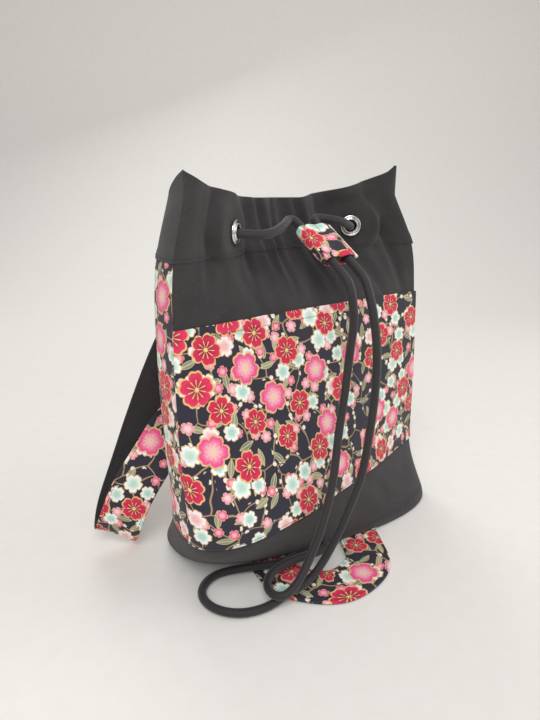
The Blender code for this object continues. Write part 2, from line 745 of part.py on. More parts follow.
def build():
    clear_scene()
    twill = material("black_twill", (0.055, 0.050, 0.052), 0.9)
    print_cloth = material("blossom_print", (0.22, 0.10, 0.16), 0.8)
    metal = material("polished_nickel", (0.8, 0.8, 0.82), 0.2, 1.0)
    braid = material("black_braid", (0.03, 0.028, 0.028), 0.85)
    pocket_cloth = material("pocket_print", (0.24, 0.11, 0.18), 0.8)
    base_cloth = material("base_twill", (0.05, 0.046, 0.047), 0.92)
    band_cloth = material("band_twill", (0.058, 0.052, 0.054), 0.9)
    rim_cloth = material("rim_twill", (0.06, 0.055, 0.057), 0.9)
    back_cloth = material("back_print", (0.2, 0.09, 0.15), 0.8)
    slider_cloth = material("slider_print", (0.3, 0.12, 0.18), 0.8)

    pocket_rings = [level_ring(z) for z in heights(PRINT_BOTTOM_Z + SEWN_GAP, PRINT_TOP_Z, 6)]
    upper_rings = [level_ring(z) for z in heights(PRINT_TOP_Z, HEM_Z - SEWN_GAP, 4)]
    body_rings = pocket_rings + upper_rings[1:]
    band_rings = [level_ring(z) for z in heights(BASE_SEAM_Z, PRINT_BOTTOM_Z, 5)]
    base = base_panel(base_cloth)
    band_solid("bottom_band", band_rings, 0.0, CLOTH_THICK, band_cloth)
    panel_solid("front_panel", body_rings, 0, STEPS_FRONT, 0.0, CLOTH_THICK, twill)
    around = STEPS_FRONT + STEPS_BACK
    panel_solid("back_panel", body_rings, STEPS_FRONT, around, 0.0, CLOTH_THICK, back_cloth)
    pocket_out = SEWN_GAP + POCKET_THICK
    panel_solid("front_pocket", pocket_rings, 0, STEPS_FRONT, pocket_out, POCKET_THICK, pocket_cloth)

    rim_rings = []
    for share in heights(0.0, 1.0, 5):
        rim_rings.append(ring_points(
            lambda turn, on_front, share=share: HEM_Z + (rim_height(turn, on_front) - HEM_Z) * share
        ))
    rim = band_solid("rim_band", rim_rings, 0.0, CLOTH_THICK, rim_cloth)

    eyelets = eyelet_frames(True) + eyelet_frames(False)
    for index, (place, outward) in enumerate(eyelets, 1):
        radius = EYELET_HOLE / 2 + BARREL_WALL + SEWN_GAP
        subtract(rim, round_cutter(f"eyelet_hole_{index}", place, outward, radius, EYELET_CUT))
        eyelet(index, place, outward, metal)

    cord_slider(slider_cloth)
    cord("free_cord", free_cord_points(eyelets), braid)
    cord("rim_cord", rim_cord_points(eyelets), braid)

    for name, route in (("left_strap", left_strap_route()), ("right_strap", right_strap_route())):
        ribbon(name, smooth_path(route, 60), STRAP_THICK, STRAP_WIDTH, print_cloth)
    for index, (one, two) in enumerate(STRAP_RUNS, 1):
        past = (two - one) * CHANNEL_OVERRUN
        width = STRAP_WIDTH + 2 * CHANNEL_SIDE
        cutter = box_cutter(f"strap_channel_{index}", one - past, two + past, width, 2 * CHANNEL_DEPTH)
        subtract(base, cutter)


build()
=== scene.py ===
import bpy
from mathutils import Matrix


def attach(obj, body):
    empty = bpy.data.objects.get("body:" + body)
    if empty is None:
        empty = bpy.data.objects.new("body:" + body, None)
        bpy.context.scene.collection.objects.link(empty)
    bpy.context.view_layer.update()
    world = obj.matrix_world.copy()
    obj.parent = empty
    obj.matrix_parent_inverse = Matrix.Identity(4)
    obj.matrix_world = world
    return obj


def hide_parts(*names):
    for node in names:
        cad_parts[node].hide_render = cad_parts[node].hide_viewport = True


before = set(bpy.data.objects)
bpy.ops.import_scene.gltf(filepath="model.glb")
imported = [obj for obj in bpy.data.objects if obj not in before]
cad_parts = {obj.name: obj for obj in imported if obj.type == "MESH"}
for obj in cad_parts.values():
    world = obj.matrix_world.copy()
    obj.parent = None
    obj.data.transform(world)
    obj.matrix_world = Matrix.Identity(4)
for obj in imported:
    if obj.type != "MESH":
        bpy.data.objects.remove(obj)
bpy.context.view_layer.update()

# Looks of a drawstring bucket backpack: black twill, a blossom print, nickel eyelets and a ribbed cord.
# Metres, +Z up, front towards -Y, in the same place as the solids.

from collections import namedtuple
import functools
import math

import bmesh
import bpy
from bpy.props import FloatProperty, FloatVectorProperty, IntProperty, PointerProperty
from mathutils import Matrix, Vector, noise

bl_info = {
    "name": "Drawstring Bucket Backpack",
    "version": (1, 0, 0),
    "blender": (4, 5, 0),
    "location": "View3D > Sidebar > Backpack",
    "description": "Sews the cloth, cord, straps and eyelets of a drawstring bucket backpack",
    "category": "Object",
}

MM = 0.001
BAG = "bag"
SLIDER = "slider"

# Cloth
CLOTH_THICK = 1.8 * MM
POCKET_THICK = 1.2 * MM
SEWN_GAP = 0.3 * MM
BASE_THICK = 6.5 * MM
BASE_EDGE_INSET = 7.0 * MM
BASE_RINGS = 22
BASE_SAG = 0.5 * MM
# How far the hem stands out, and the share of the rim's height over which it fades
HEM_PROUD = 0.9 * MM
HEM_FADE = 1 / 6
# How far a folded edge bulges, as a share of the cloth's thickness
EDGE_ROUND = 0.35
# Keeps an offset ring from running out into a spike at a sharp corner
MITRE_LIMIT = 0.6

# Heights of the seams
BASE_SEAM_Z = 14 * MM
PRINT_BOTTOM_Z = 70 * MM
BELLY_Z = 165 * MM
PRINT_TOP_Z = 260 * MM
HEM_Z = 313 * MM
RIM_Z = 362 * MM
LEFT_EAR_RISE = 17 * MM
RIGHT_EAR_RISE = 27 * MM
FRONT_DIP = 3 * MM
BACK_DIP = 6 * MM
FRONT_EAR_SPAN = 0.42
FRONT_EAR_CURVE = 1.3
BACK_EAR_SPAN = 0.2
BACK_EAR_CURVE = 1.5

# The bag's cross-section at one height, in metres
Level = namedtuple("Level", "z left_x left_y right_x right_y bulge skew pinch back_depth")
LEVELS = (
    Level(0.0, -115 * MM, 56 * MM, 191 * MM, -20 * MM, 68 * MM, 0.0, 0.0, 70 * MM),
    Level(BASE_SEAM_Z, -127 * MM, 30 * MM, 190 * MM, -21 * MM, 60 * MM, 0.15, 0.0, 84 * MM),
    Level(PRINT_BOTTOM_Z, -147 * MM, -35 * MM, 182 * MM, -15 * MM, 32 * MM, 0.75, 0.0, 105 * MM),
    Level(BELLY_Z, -150 * MM, -33 * MM, 167 * MM, -23 * MM, 13 * MM, 0.5, 0.0, 108 * MM),
    Level(PRINT_TOP_Z, -150 * MM, -31 * MM, 150 * MM, -30 * MM, 0.0, 0.0, 3 * MM, 106 * MM),
    Level(HEM_Z, -149 * MM, -35 * MM, 134 * MM, -34 * MM, 0.0, 0.0, 40 * MM, 98 * MM),
    Level(RIM_Z, -137 * MM, -34 * MM, 105 * MM, -31 * MM, 0.0, 0.0, 44 * MM, 82 * MM),
)
FRONT_SQUARENESS = 2.2
BACK_SQUARENESS = 2.5
# How evenly steps are spread along the front: 0 crowds them at the sides, 1 is even
EVEN_SHARE = 0.4
PINCH_CENTRE = 0.12
PINCH_WIDTH = 0.72
GATHER_DEPTH = 5 * MM
GATHERS = 5
GATHER_PHASE = 0.8
GATHER_GROWTH = 1.5
BACK_GATHER_SHARE = 0.5
STEPS_FRONT = 168
STEPS_BACK = 152
PRINT_ROW = 3.2 * MM
UPPER_ROW = 2.6 * MM
BAND_ROW = 3 * MM
RIM_ROW_SHARE = 0.045

# Eyelets, placed by their share along the front or back, from -1 to 1
EYELET_Z = 332 * MM
EYELET_OUTER = 21 * MM
EYELET_HOLE = 11 * MM
LIP_RADIUS = 0.95 * MM
FRONT_EYELETS = (-0.53, 0.60)
BACK_EYELETS = (-0.45, 0.45)
EYELET_FLAT = 20 * MM
EYELET_FADE = 14 * MM
EYELET_REACH = 0.03

# Cord and slider
CORD_DIAMETER = 8 * MM
CORD_REST_GAP = 0.4 * MM
RIM_CORD_INSET = 14 * MM
RIM_CORD_OUT = 13 * MM
BACK_BIGHT = 16 * MM
CORD_JOIN = 2 * CLOTH_THICK
CORD_OUT = 5 * MM
CORD_CLEAR = 8 * MM
CORD_LEAD = 5 * MM
SLIDER_WIDTH = 40 * MM
SLIDER_THICK = 13 * MM
SLIDER_LENGTH = 44 * MM
SLIDER_WALL = 1.5 * MM
SLIDER_WAIST = 0.22
WAIST_REACH = 5 * MM
SLIDER_LIP = 0.96
SLIDER_SWELL = 0.035
# The way round the slider in slider widths: of the cloth, and of the print laid on it
PRINT_TURN = 2.4
PRINT_SHIFT = 0.21
CHANNEL_SPACING = 21 * MM
SLIDER_TOP = Vector((2 * MM, -22 * MM, 332 * MM))
SLIDER_END = Vector((3 * MM, -58 * MM, 307 * MM))
SLIDE_TRAVEL = 12 * MM
CORD_RIBS = 12
PLAIT_LENGTH = 1.6 * MM
ENTRY_LEAD = 5 * MM

# Straps
STRAP_WIDTH = 45 * MM
STRAP_THICK = 3 * MM
STRAP_REST_Z = 1.9 * MM
STRAP_LIFT = 4 * MM
STRAP_SEAT_GAP = 1.1 * MM
STITCH_ACROSS = 0.425
STITCH_HIGH = 0.42
# Where the straps pass under the base, from and to
STRAP_RUNS = (
    (Vector((5 * MM, 100 * MM, 0)), Vector((-41 * MM, -8 * MM, 0))),
    (Vector((62 * MM, -34 * MM, 0)), Vector((106 * MM, 50 * MM, 0))),
)
CHANNEL_DEPTH = 4.0 * MM
CHANNEL_SIDE = 3 * MM
CHANNEL_SLOPE = 3 * MM
CHANNEL_OVERRUN = 0.45

# Stitch lines, from their seam or hem
BY_SEAM = 2.5 * MM
BY_HEM = 8 * MM

# The camera, fitted to the photograph by the bag's seams and outline
CAMERA_PLACE = (-0.344, -0.398, 0.362)
CAMERA_RIGHT = (0.7848, -0.6198, 0.0)
CAMERA_UP = (0.1812, 0.2294, 0.9563)
CAMERA_AHEAD = (0.5927, 0.7505, -0.2924)
CAMERA_LENS = 27.05


def linear(hex_text):
    """A hex sRGB colour as linear red, green, blue and alpha."""
    shares = [int(hex_text[i:i + 2], 16) / 255 for i in (1, 3, 5)]
    lit = [c / 12.92 if c <= 0.04045 else ((c + 0.055) / 1.055) ** 2.4 for c in shares]
    return (*lit, 1.0)


# ---- the bag's shape
def hermite(low, high, low_slope, high_slope, share, span):
    cube, square = share ** 3, share ** 2
    return (
        (2 * cube - 3 * square + 1) * low + (cube - 2 * square + share) * span * low_slope
        + (3 * square - 2 * cube) * high + (cube - square) * span * high_slope
    )


def slope_at(index, field):
    before = LEVELS[max(index - 1, 0)]
    after = LEVELS[min(index + 1, len(LEVELS) - 1)]
    return (getattr(after, field) - getattr(before, field)) / (after.z - before.z)


@functools.cache
def section_at(z):
    """The cross-section's values at a height, read smoothly between the levels."""
    index = 0
    while index < len(LEVELS) - 2 and z > LEVELS[index + 1].z:
        index += 1
    low, high = LEVELS[index], LEVELS[index + 1]
    span = high.z - low.z
    share = (z - low.z) / span
    values = [z]
    for field in Level._fields[1:]:
        if share > 1:
            values.append(getattr(high, field))
            continue
        values.append(hermite(getattr(low, field), getattr(high, field), slope_at(index, field),
                              slope_at(index + 1, field), share, span))
    return Level(*values)


def gather_share(z):
    share = (z - PRINT_TOP_Z) / (EYELET_Z - PRINT_TOP_Z)
    return min(max(share, 0.0), 1.0) ** GATHER_GROWTH


def across_at(turn, on_front):
    """How far along the front or back a turn of 0 to 1 stands, from -1 to 1."""
    angle = math.pi * turn
    if on_front:
        return EVEN_SHARE * (2 * turn - 1) - (1 - EVEN_SHARE) * math.cos(angle)
    return math.copysign(abs(math.cos(angle)) ** (2 / BACK_SQUARENESS), math.cos(angle))


def turn_at(across, on_front):
    low, high = 0.0, 1.0
    for _ in range(30):
        middle = (low + high) / 2
        if (across_at(middle, on_front) < across) == on_front:
            low = middle
        else:
            high = middle
    return (low + high) / 2


def free_wall_point(turn, z, on_front, gathered=True):
    """A point of the outer wall before the eyelets pull it flat."""
    level = section_at(z)
    across = across_at(turn, on_front)
    share = (across + 1) / 2
    x = level.left_x + (level.right_x - level.left_x) * share
    y = level.left_y + (level.right_y - level.left_y) * share
    between_seams = 1 - across ** 8
    fold = math.sin(math.pi * GATHERS * across + GATHER_PHASE)
    wave = GATHER_DEPTH * gather_share(z) * between_seams * fold if gathered else 0.0
    if on_front:
        height = max(1 - abs(across) ** FRONT_SQUARENESS, 0.0) ** (1 / FRONT_SQUARENESS)
        pulled = math.exp(-abs((across - PINCH_CENTRE) / PINCH_WIDTH) ** 3) * between_seams
        y += level.pinch * pulled + wave - level.bulge * height * (1 - level.skew * across)
    else:
        height = math.sin(math.pi * turn) ** (2 / BACK_SQUARENESS) if 0 < turn < 1 else 0.0
        y += level.back_depth * height + wave * BACK_GATHER_SHARE
    return Vector((x, y, z))


def wall_frame(across, on_front, gathered=True):
    """A place on the wall at the eyelets' height, and the outward direction there."""
    turn = turn_at(across, on_front)
    here, before, after = (free_wall_point(turn + step, EYELET_Z, on_front, gathered)
                           for step in (0, -EYELET_REACH, EYELET_REACH))
    along = after - before
    return here, Vector((along.y, -along.x, 0)).normalized()


@functools.cache
def eyelet_frames(on_front):
    """Place and outward direction of each eyelet on the front or back."""
    return tuple(wall_frame(across, on_front) for across in (FRONT_EYELETS if on_front else BACK_EYELETS))


SHARP_ANGLE = math.radians(50)

# Soft dents, small dents and puckers at the seams: how often along and up, seed and depth
UNEVENNESS = ((2.1, 9.0, 1.7, 1.7 * MM), (9.0, 34.0, 4.2, 0.5 * MM), (38.0, 18.0, 9.1, 0.35 * MM))
PUCKER_REACH = 9 * MM
# How high the cloth stands on both sides of a crease, as a share of its depth, and how far
# out it does, and where a crease ends, in half widths
BESIDE_CREASE = 0.45
BESIDE_PLACE = 2.1
CREASE_REACH = 4
# Cloth stays plain at the foot, and wavers in full this much higher
PLAIN_FOOT = 4 * MM
PLAIN_FADE = 20 * MM

# Creases of the cloth: share along, height and length in millimetres, lean, depth in
# millimetres and half width as a share. A lean of 0.1 moves a crease a tenth of the front
# sideways over its length.
FRONT_CREASES = (
    (-0.36, 318, 60, 0.04, 2.9, 0.030), (-0.19, 335, 62, -0.05, 3.9, 0.026),
    (-0.05, 326, 70, 0.03, 3.4, 0.024), (0.20, 330, 66, -0.03, 4.0, 0.026),
    (0.38, 322, 58, 0.06, 3.0, 0.028), (0.83, 318, 76, -0.06, 3.4, 0.028),
    (-0.74, 330, 80, 0.03, 2.2, 0.030), (-0.46, 288, 44, -0.10, 1.6, 0.040),
    (0.62, 284, 46, -0.12, 1.7, 0.040), (0.10, 286, 40, 0.14, 1.5, 0.050),
    (-0.55, 150, 120, 0.10, 0.9, 0.070), (0.52, 170, 130, -0.08, 0.8, 0.080),
    (-0.86, 190, 150, 0.04, 1.3, 0.040), (0.05, 105, 70, 0.16, 0.7, 0.080),
    (-0.20, 44, 40, 0.20, 0.9, 0.060), (0.40, 42, 40, -0.20, 0.9, 0.060),
)
BACK_CREASES = (
    (-0.70, 325, 70, 0.05, 1.5, 0.035), (-0.28, 335, 60, -0.04, 1.8, 0.030),
    (0.0, 330, 70, 0.03, 1.9, 0.030), (0.27, 328, 66, -0.04, 1.7, 0.030),
    (0.72, 320, 80, 0.05, 1.4, 0.035), (-0.45, 240, 110, 0.10, 1.2, 0.060),
    (0.30, 220, 130, -0.10, 1.0, 0.070), (0.62, 120, 110, 0.12, 1.1, 0.060),
    (-0.60, 110, 110, -0.12, 1.2, 0.060),
)


def crease(across, z, on_front):
    """How far the cloth stands off its plain shape: soft dents, creases and small puckers."""
    fold_scale = bpy.context.scene.bag_sizes.fold_depth
    depth = 0.0
    for place, high, length, lean, deep, half in FRONT_CREASES if on_front else BACK_CREASES:
        rise = (z / MM - high) / length
        if abs(rise) > 1:
            continue
        off = (across - place - lean * rise) / half
        if abs(off) < CREASE_REACH:
            fading = deep * MM * math.cos(math.pi * rise / 2) ** 2
            beside = BESIDE_CREASE * math.exp(-(abs(off) - BESIDE_PLACE) ** 2)
            depth -= fading * (math.exp(-off * off) - beside)
    side = 0.0 if on_front else 7.0
    soft, small, pucker = (deep * noise.noise(Vector((across * wide + side, z * high, seed)))
                           for wide, high, seed, deep in UNEVENNESS)
    near_seam = sum(math.exp(-((z - seam) / PUCKER_REACH) ** 2) for seam in (HEM_Z, PRINT_TOP_Z))
    depth += soft + small + pucker * near_seam
    fade = min(1.0, max(0.0, (z - PLAIN_FOOT) / PLAIN_FADE)) * (1 - across ** 8)
    return depth * fade * fold_scale


def wall_point(turn, z, on_front):
    """A point of the outer wall, creased, and flat under each eyelet."""
    point = free_wall_point(turn, z, on_front)
    point.y += crease(across_at(turn, on_front), z, on_front) * (-1 if on_front else 1)
    for place, outward in eyelet_frames(on_front):
        away = math.hypot((point - place).x, (point - place).z)
        share = min(max((EYELET_FLAT + EYELET_FADE - away) / EYELET_FADE, 0.0), 1.0)
        share = share * share * (3 - 2 * share)
        flat_y = place.y - (point.x - place.x) * outward.x / outward.y
        point.y += (flat_y - point.y) * share
    return point


def ring_points(z_at):
    """One closed turn round the wall: the front from left to right, then the back."""
    points = [wall_point(step / STEPS_FRONT, z_at(step / STEPS_FRONT, True), True)
              for step in range(STEPS_FRONT)]
    points += [wall_point(step / STEPS_BACK, z_at(step / STEPS_BACK, False), False)
               for step in range(STEPS_BACK)]
    return points


def level_ring(z):
    return ring_points(lambda turn, on_front: z)


def offset_ring(points, distance, lift=0.0):
    """The ring moved outwards in plan, square to the line through each point."""
    count = len(points)
    moved = []
    for index, point in enumerate(points):
        ahead = points[(index + 1) % count] - point
        behind = point - points[index - 1]
        ahead.z = behind.z = 0
        ahead.normalize()
        behind.normalize()
        side_ahead = Vector((ahead.y, -ahead.x, 0))
        side = (side_ahead + Vector((behind.y, -behind.x, 0))).normalized()
        reach = distance / max(side.dot(side_ahead), MITRE_LIMIT)
        moved.append(point + side * reach + Vector((0, 0, lift)))
    return moved


def rim_height(turn, on_front):
    if on_front:
        left = max(0.0, 1 - turn / FRONT_EAR_SPAN) ** FRONT_EAR_CURVE
        right = max(0.0, 1 - (1 - turn) / FRONT_EAR_SPAN) ** FRONT_EAR_CURVE
        dip = FRONT_DIP
    else:
        right = max(0.0, 1 - turn / BACK_EAR_SPAN) ** BACK_EAR_CURVE
        left = max(0.0, 1 - (1 - turn) / BACK_EAR_SPAN) ** BACK_EAR_CURVE
        dip = BACK_DIP
    flat = 1 - max(left, right)
    return RIM_Z + LEFT_EAR_RISE * left + RIGHT_EAR_RISE * right - dip * flat


def heights(low, high, step):
    rows = max(3, round((high - low) / step) + 1)
    return [low + (high - low) * row / (rows - 1) for row in range(rows)]


# ---- meshes
def show(name, data):
    """An object of its own for a mesh or curve."""
    thing = bpy.data.objects.new(name, data)
    bpy.context.scene.collection.objects.link(thing)
    return thing


def shade(mesh):
    mesh.shade_smooth()
    mesh.set_sharp_from_angle(angle=SHARP_ANGLE)


def quads(rows, columns, round_rows=False, round_columns=True):
    """Each face of a grid of points, with the row and column of its corners.

    The column isn't taken back to 0 where the grid closes, for the sake of UV maps.
    """
    for row in range(rows if round_rows else rows - 1):
        above = (row + 1) % rows
        for column in range(columns if round_columns else columns - 1):
            spots = ((row, column), (row, column + 1), (above, column + 1), (above, column))
            yield tuple(at * columns + which % columns for at, which in spots), spots


def running_length(points):
    """The length walked at each point."""
    walk = [0.0]
    for one, two in zip(points, points[1:]):
        walk.append(walk[-1] + (two - one).length)
    return walk


def new_piece(name, points, faces, corner_uvs, finishes, face_finish=None):
    """A mesh object with a UV map in metres, its faces pointing out."""
    mesh = bpy.data.meshes.new(name)
    mesh.from_pydata([tuple(p) for p in points], [], faces)
    layer = mesh.uv_layers.new(name="cloth")
    flat = [value for uv in corner_uvs for value in uv]
    layer.data.foreach_set("uv", flat)
    for finish in finishes:
        mesh.materials.append(finish)
    if face_finish:
        mesh.polygons.foreach_set("material_index", face_finish)
    shaped = bmesh.new()
    shaped.from_mesh(mesh)
    bmesh.ops.recalc_face_normals(shaped, faces=shaped.faces)
    if shaped.calc_volume(signed=True) < 0:
        bmesh.ops.reverse_faces(shaped, faces=shaped.faces)
    shaped.to_mesh(mesh)
    shaped.free()
    shade(mesh)
    return show(name, mesh)


def settle(piece):
    """Bakes a piece's modifiers into a plain mesh."""
    shown = piece.evaluated_get(bpy.context.evaluated_depsgraph_get())
    mesh = bpy.data.meshes.new_from_object(shown)
    if piece.type == "CURVE":
        plain = show(piece.name + "_mesh", mesh)
        name = piece.name
        bpy.data.objects.remove(piece)
        plain.name = name
        return plain
    piece.modifiers.clear()
    piece.data = mesh
    return piece


def cloth_shell(name, rings, first, last, outside, thickness, finishes, proud=None):
    """Cloth with thickness and softly folded edges, from rings listed upwards."""
    count = len(rings[0])
    closed = last - first >= count
    proud = proud or (lambda row: 0.0)
    sizes = [outside + proud(row / (len(rings) - 1)) for row in range(len(rings))]
    outer = [offset_ring(ring, size) for ring, size in zip(rings, sizes)]
    inner = [offset_ring(ring, size - thickness) for ring, size in zip(rings, sizes)]
    top = offset_ring(rings[-1], sizes[-1] - thickness / 2, thickness * EDGE_ROUND)
    # The band's foot stays level, because the seam with the base lies right under it
    sunk = 0.0 if abs(rings[0][0].z - BASE_SEAM_Z) < MM else thickness * EDGE_ROUND
    foot = offset_ring(rings[0], sizes[0] - thickness / 2, -sunk)
    profile = outer + [top] + inner[::-1] + [foot]
    columns = last - first + (0 if closed else 1)
    points, runs = [], []
    for ring in profile:
        line = [ring[(first + column) % count].copy() for column in range(columns)]
        if not closed:
            line[0] += (line[1] - line[0]).normalized() * SEWN_GAP
            line[-1] += (line[-2] - line[-1]).normalized() * SEWN_GAP
        points += line
        walk = running_length([*line, line[0]])
        middle = walk[min(STEPS_FRONT // 2, columns // 2)]
        runs.append([value - middle for value in walk])
    faces, uvs = [], []
    for face, spots in quads(len(profile), columns, True, closed):
        faces.append(face)
        uvs += [(runs[row][column], profile[row][0].z) for row, column in spots]
    if not closed:
        many = len(rings)
        for column in (0, columns - 1):
            for row in range(many - 1):
                back = 2 * many - row
                faces.append((row * columns + column, (row + 1) * columns + column,
                              (back - 1) * columns + column, back * columns + column))
                uvs += [(0.0, rings[row][0].z)] * 4
            crown = (many - 1, many, many + 1)
            faces.append(tuple(row * columns + column for row in crown))
            faces.append(tuple(row * columns + column for row in (0, 2 * many, 2 * many + 1)))
            uvs += [(0.0, rings[0][0].z)] * 6
    return new_piece(name, points, faces, uvs, finishes)


def smooth_path(route, count):
    """Evenly spaced points on a smooth curve through the route's points."""
    fine, steps = [], 16
    for index in range(len(route) - 1):
        before = route[max(index - 1, 0)]
        start, end = route[index], route[index + 1]
        after = route[min(index + 2, len(route) - 1)]
        for step in range(steps):
            share = step / steps
            fine.append([
                0.5 * (2 * b + (c - a) * share + (2 * a - 5 * b + 4 * c - d) * share ** 2
                       + (3 * b - a - 3 * c + d) * share ** 3)
                for a, b, c, d in zip(before, start, end, after)
            ])
    fine.append(list(route[-1]))
    lengths = [0.0]
    for one, two in zip(fine, fine[1:]):
        lengths.append(lengths[-1] + (Vector(two[:3]) - Vector(one[:3])).length)
    path = []
    index = 0
    for step in range(count):
        wanted = lengths[-1] * step / (count - 1)
        while index < len(lengths) - 2 and lengths[index + 1] < wanted:
            index += 1
        share = (wanted - lengths[index]) / (lengths[index + 1] - lengths[index])
        path.append([p + (q - p) * share for p, q in zip(fine[index], fine[index + 1])])
    return path


def soften(points, passes=10):
    """Rounds off sharp corners of a path and keeps its two ends."""
    for _ in range(passes):
        middle = [(before + here * 2 + after) / 4
                  for before, here, after in zip(points, points[1:], points[2:])]
        points = [points[0], *middle, points[-1]]
    return points


def millimetres(rows):
    """Rows whose first three values, the place, were typed in millimetres."""
    return [tuple(value * MM for value in row[:3]) + tuple(row[3:]) for row in rows]


def places(*rows):
    return [Vector(row) for row in millimetres(rows)]


def line_curve(name, lines):
    """Poly splines through lists of points."""
    data = bpy.data.curves.new(name, "CURVE")
    data.dimensions = "3D"
    for line in lines:
        spline = data.splines.new("POLY")
        spline.points.add(len(line) - 1)
        for spot, point in zip(spline.points, line):
            spot.co = (*point[:3], 1)
    return show(name, data)


# ---- node trees
NUMBER = "NodeSocketFloat"
VECTOR = "NodeSocketVector"
SHAPE = "NodeSocketGeometry"
FINISH = "NodeSocketMaterial"
FULL_TURN = 6.2832
# Between two bands of a wave texture of scale 1
WAVE_STEP = 0.314


def add_node(tree, kind, inputs=None, **settings):
    """Adds a node, sets its properties, and fills or links its inputs."""
    made = tree.nodes.new(kind)
    for name, value in settings.items():
        setattr(made, name, value)
    for key, value in (inputs or {}).items():
        if isinstance(value, bpy.types.NodeSocket):
            tree.links.new(value, made.inputs[key])
        else:
            made.inputs[key].default_value = value
    return made


class Nodes:
    """Short calls for the shader nodes that the trees here share. Each gives its sockets back."""

    def __init__(self, tree):
        self.tree = tree

    def math(self, operation, *values):
        return add_node(self.tree, "ShaderNodeMath", dict(enumerate(values)), operation=operation).outputs[0]

    def vector(self, operation, *values):
        return add_node(self.tree, "ShaderNodeVectorMath", dict(enumerate(values)),
                        operation=operation).outputs[0]

    def scale(self, vector, factor):
        return add_node(self.tree, "ShaderNodeVectorMath", {0: vector, 3: factor},
                        operation="SCALE").outputs[0]

    def turn(self, vector, angle):
        return add_node(self.tree, "ShaderNodeVectorRotate", {"Vector": vector, "Angle": angle},
                        rotation_type="Z_AXIS").outputs[0]

    def map(self, value, *span):
        """A value's range, from low and high, to 0 and 1 or to the two ends given after them."""
        return add_node(self.tree, "ShaderNodeMapRange", dict(enumerate((value, *span)))).outputs[0]

    def mix(self, share, *ends):
        """Two colours, as hex text, values or sockets, blended by a share."""
        low, high = (linear(end) if isinstance(end, str) else end for end in ends)
        return add_node(self.tree, "ShaderNodeMix", {0: share, 6: low, 7: high}, data_type="RGBA").outputs[2]

    def noise(self, vector, scale, detail=2.0):
        return add_node(self.tree, "ShaderNodeTexNoise",
                        {"Vector": vector, "Scale": scale, "Detail": detail}).outputs

    def cells(self, vector, scale, randomness=1.0, feature="F1"):
        return add_node(self.tree, "ShaderNodeTexVoronoi",
                        {"Vector": vector, "Scale": scale, "Randomness": randomness},
                        voronoi_dimensions="2D", feature=feature).outputs

    def chances(self, cells):
        """Three numbers of its own for each cell."""
        return add_node(self.tree, "ShaderNodeSeparateColor", {0: cells["Color"]}).outputs

    def plan(self, vector):
        return add_node(self.tree, "ShaderNodeSeparateXYZ", {0: vector}).outputs[:2]

    def place(self):
        return add_node(self.tree, "ShaderNodeTexCoord").outputs["Object"]

    def cloth(self):
        """The cloth's own UV map in millimetres."""
        return self.scale(add_node(self.tree, "ShaderNodeUVMap", uv_map="cloth").outputs[0], 1 / MM)

    def bump(self, strength, distance, height):
        return add_node(self.tree, "ShaderNodeBump",
                        {"Strength": strength, "Distance": distance, "Height": height}).outputs[0]

    def weave(self, vector, pitch_mm, strength, lean):
        """The bump, and the ribs, of a weave whose ribs stand pitch_mm apart and lean by an angle."""
        ribs = add_node(self.tree, "ShaderNodeTexWave",
                        {"Vector": self.turn(vector, lean), "Scale": WAVE_STEP / pitch_mm, "Distortion": 0.6,
                         "Detail": 1.0, "Detail Scale": 2.0},
                        wave_type="BANDS", bands_direction="X").outputs["Fac"]
        height = self.math("MULTIPLY_ADD", self.noise(vector, 1.6, 3.0)[0], 0.55, ribs)
        return self.bump(strength, 0.35 * MM, height), ribs

    def group(self, tree, **inputs):
        named = {name.replace("_", " "): value for name, value in inputs.items()}
        return add_node(self.tree, "ShaderNodeGroup", named, node_tree=tree).outputs

    def steps(self, value, colours):
        """A colour that changes at set values, from (up to, hex colour) pairs."""
        ramp = add_node(self.tree, "ShaderNodeValToRGB", {0: value})
        stops = ramp.color_ramp
        stops.interpolation = "CONSTANT"
        stops.elements[0].color = linear(colours[0][1])
        stops.elements[1].position = colours[0][0]
        stops.elements[1].color = linear(colours[1][1])
        for before, colour in zip(colours[1:], colours[2:]):
            stops.elements.new(before[0]).color = linear(colour[1])
        return ramp.outputs["Color"]

    def paint(self, colour, normal=None, roughness=None):
        """Links the material's colour and, where given, its normal and its roughness."""
        shader = self.tree.nodes["Principled BSDF"]
        for socket, value in (("Base Color", colour), ("Normal", normal), ("Roughness", roughness)):
            if value is not None:
                self.tree.links.new(value, shader.inputs[socket])


def group_of(name, kind, inputs, outputs):
    """A new node group with its named sockets: the tree, and its inputs as sockets."""
    tree = bpy.data.node_groups.new(name, kind)
    for way, sockets in (("INPUT", inputs), ("OUTPUT", outputs)):
        for socket, socket_type in sockets:
            tree.interface.new_socket(socket, in_out=way, socket_type=socket_type)
    return tree, add_node(tree, "NodeGroupInput").outputs


def new_material(name, roughness, **sockets):
    """A material of one Principled shader with constant numbers on its sockets, and its Nodes."""
    made = bpy.data.materials.new(name)
    made.use_nodes = True
    shader = made.node_tree.nodes["Principled BSDF"]
    shader.inputs["Roughness"].default_value = roughness
    for socket, value in sockets.items():
        shader.inputs[socket.replace("_", " ")].default_value = value
    return made, Nodes(made.node_tree)


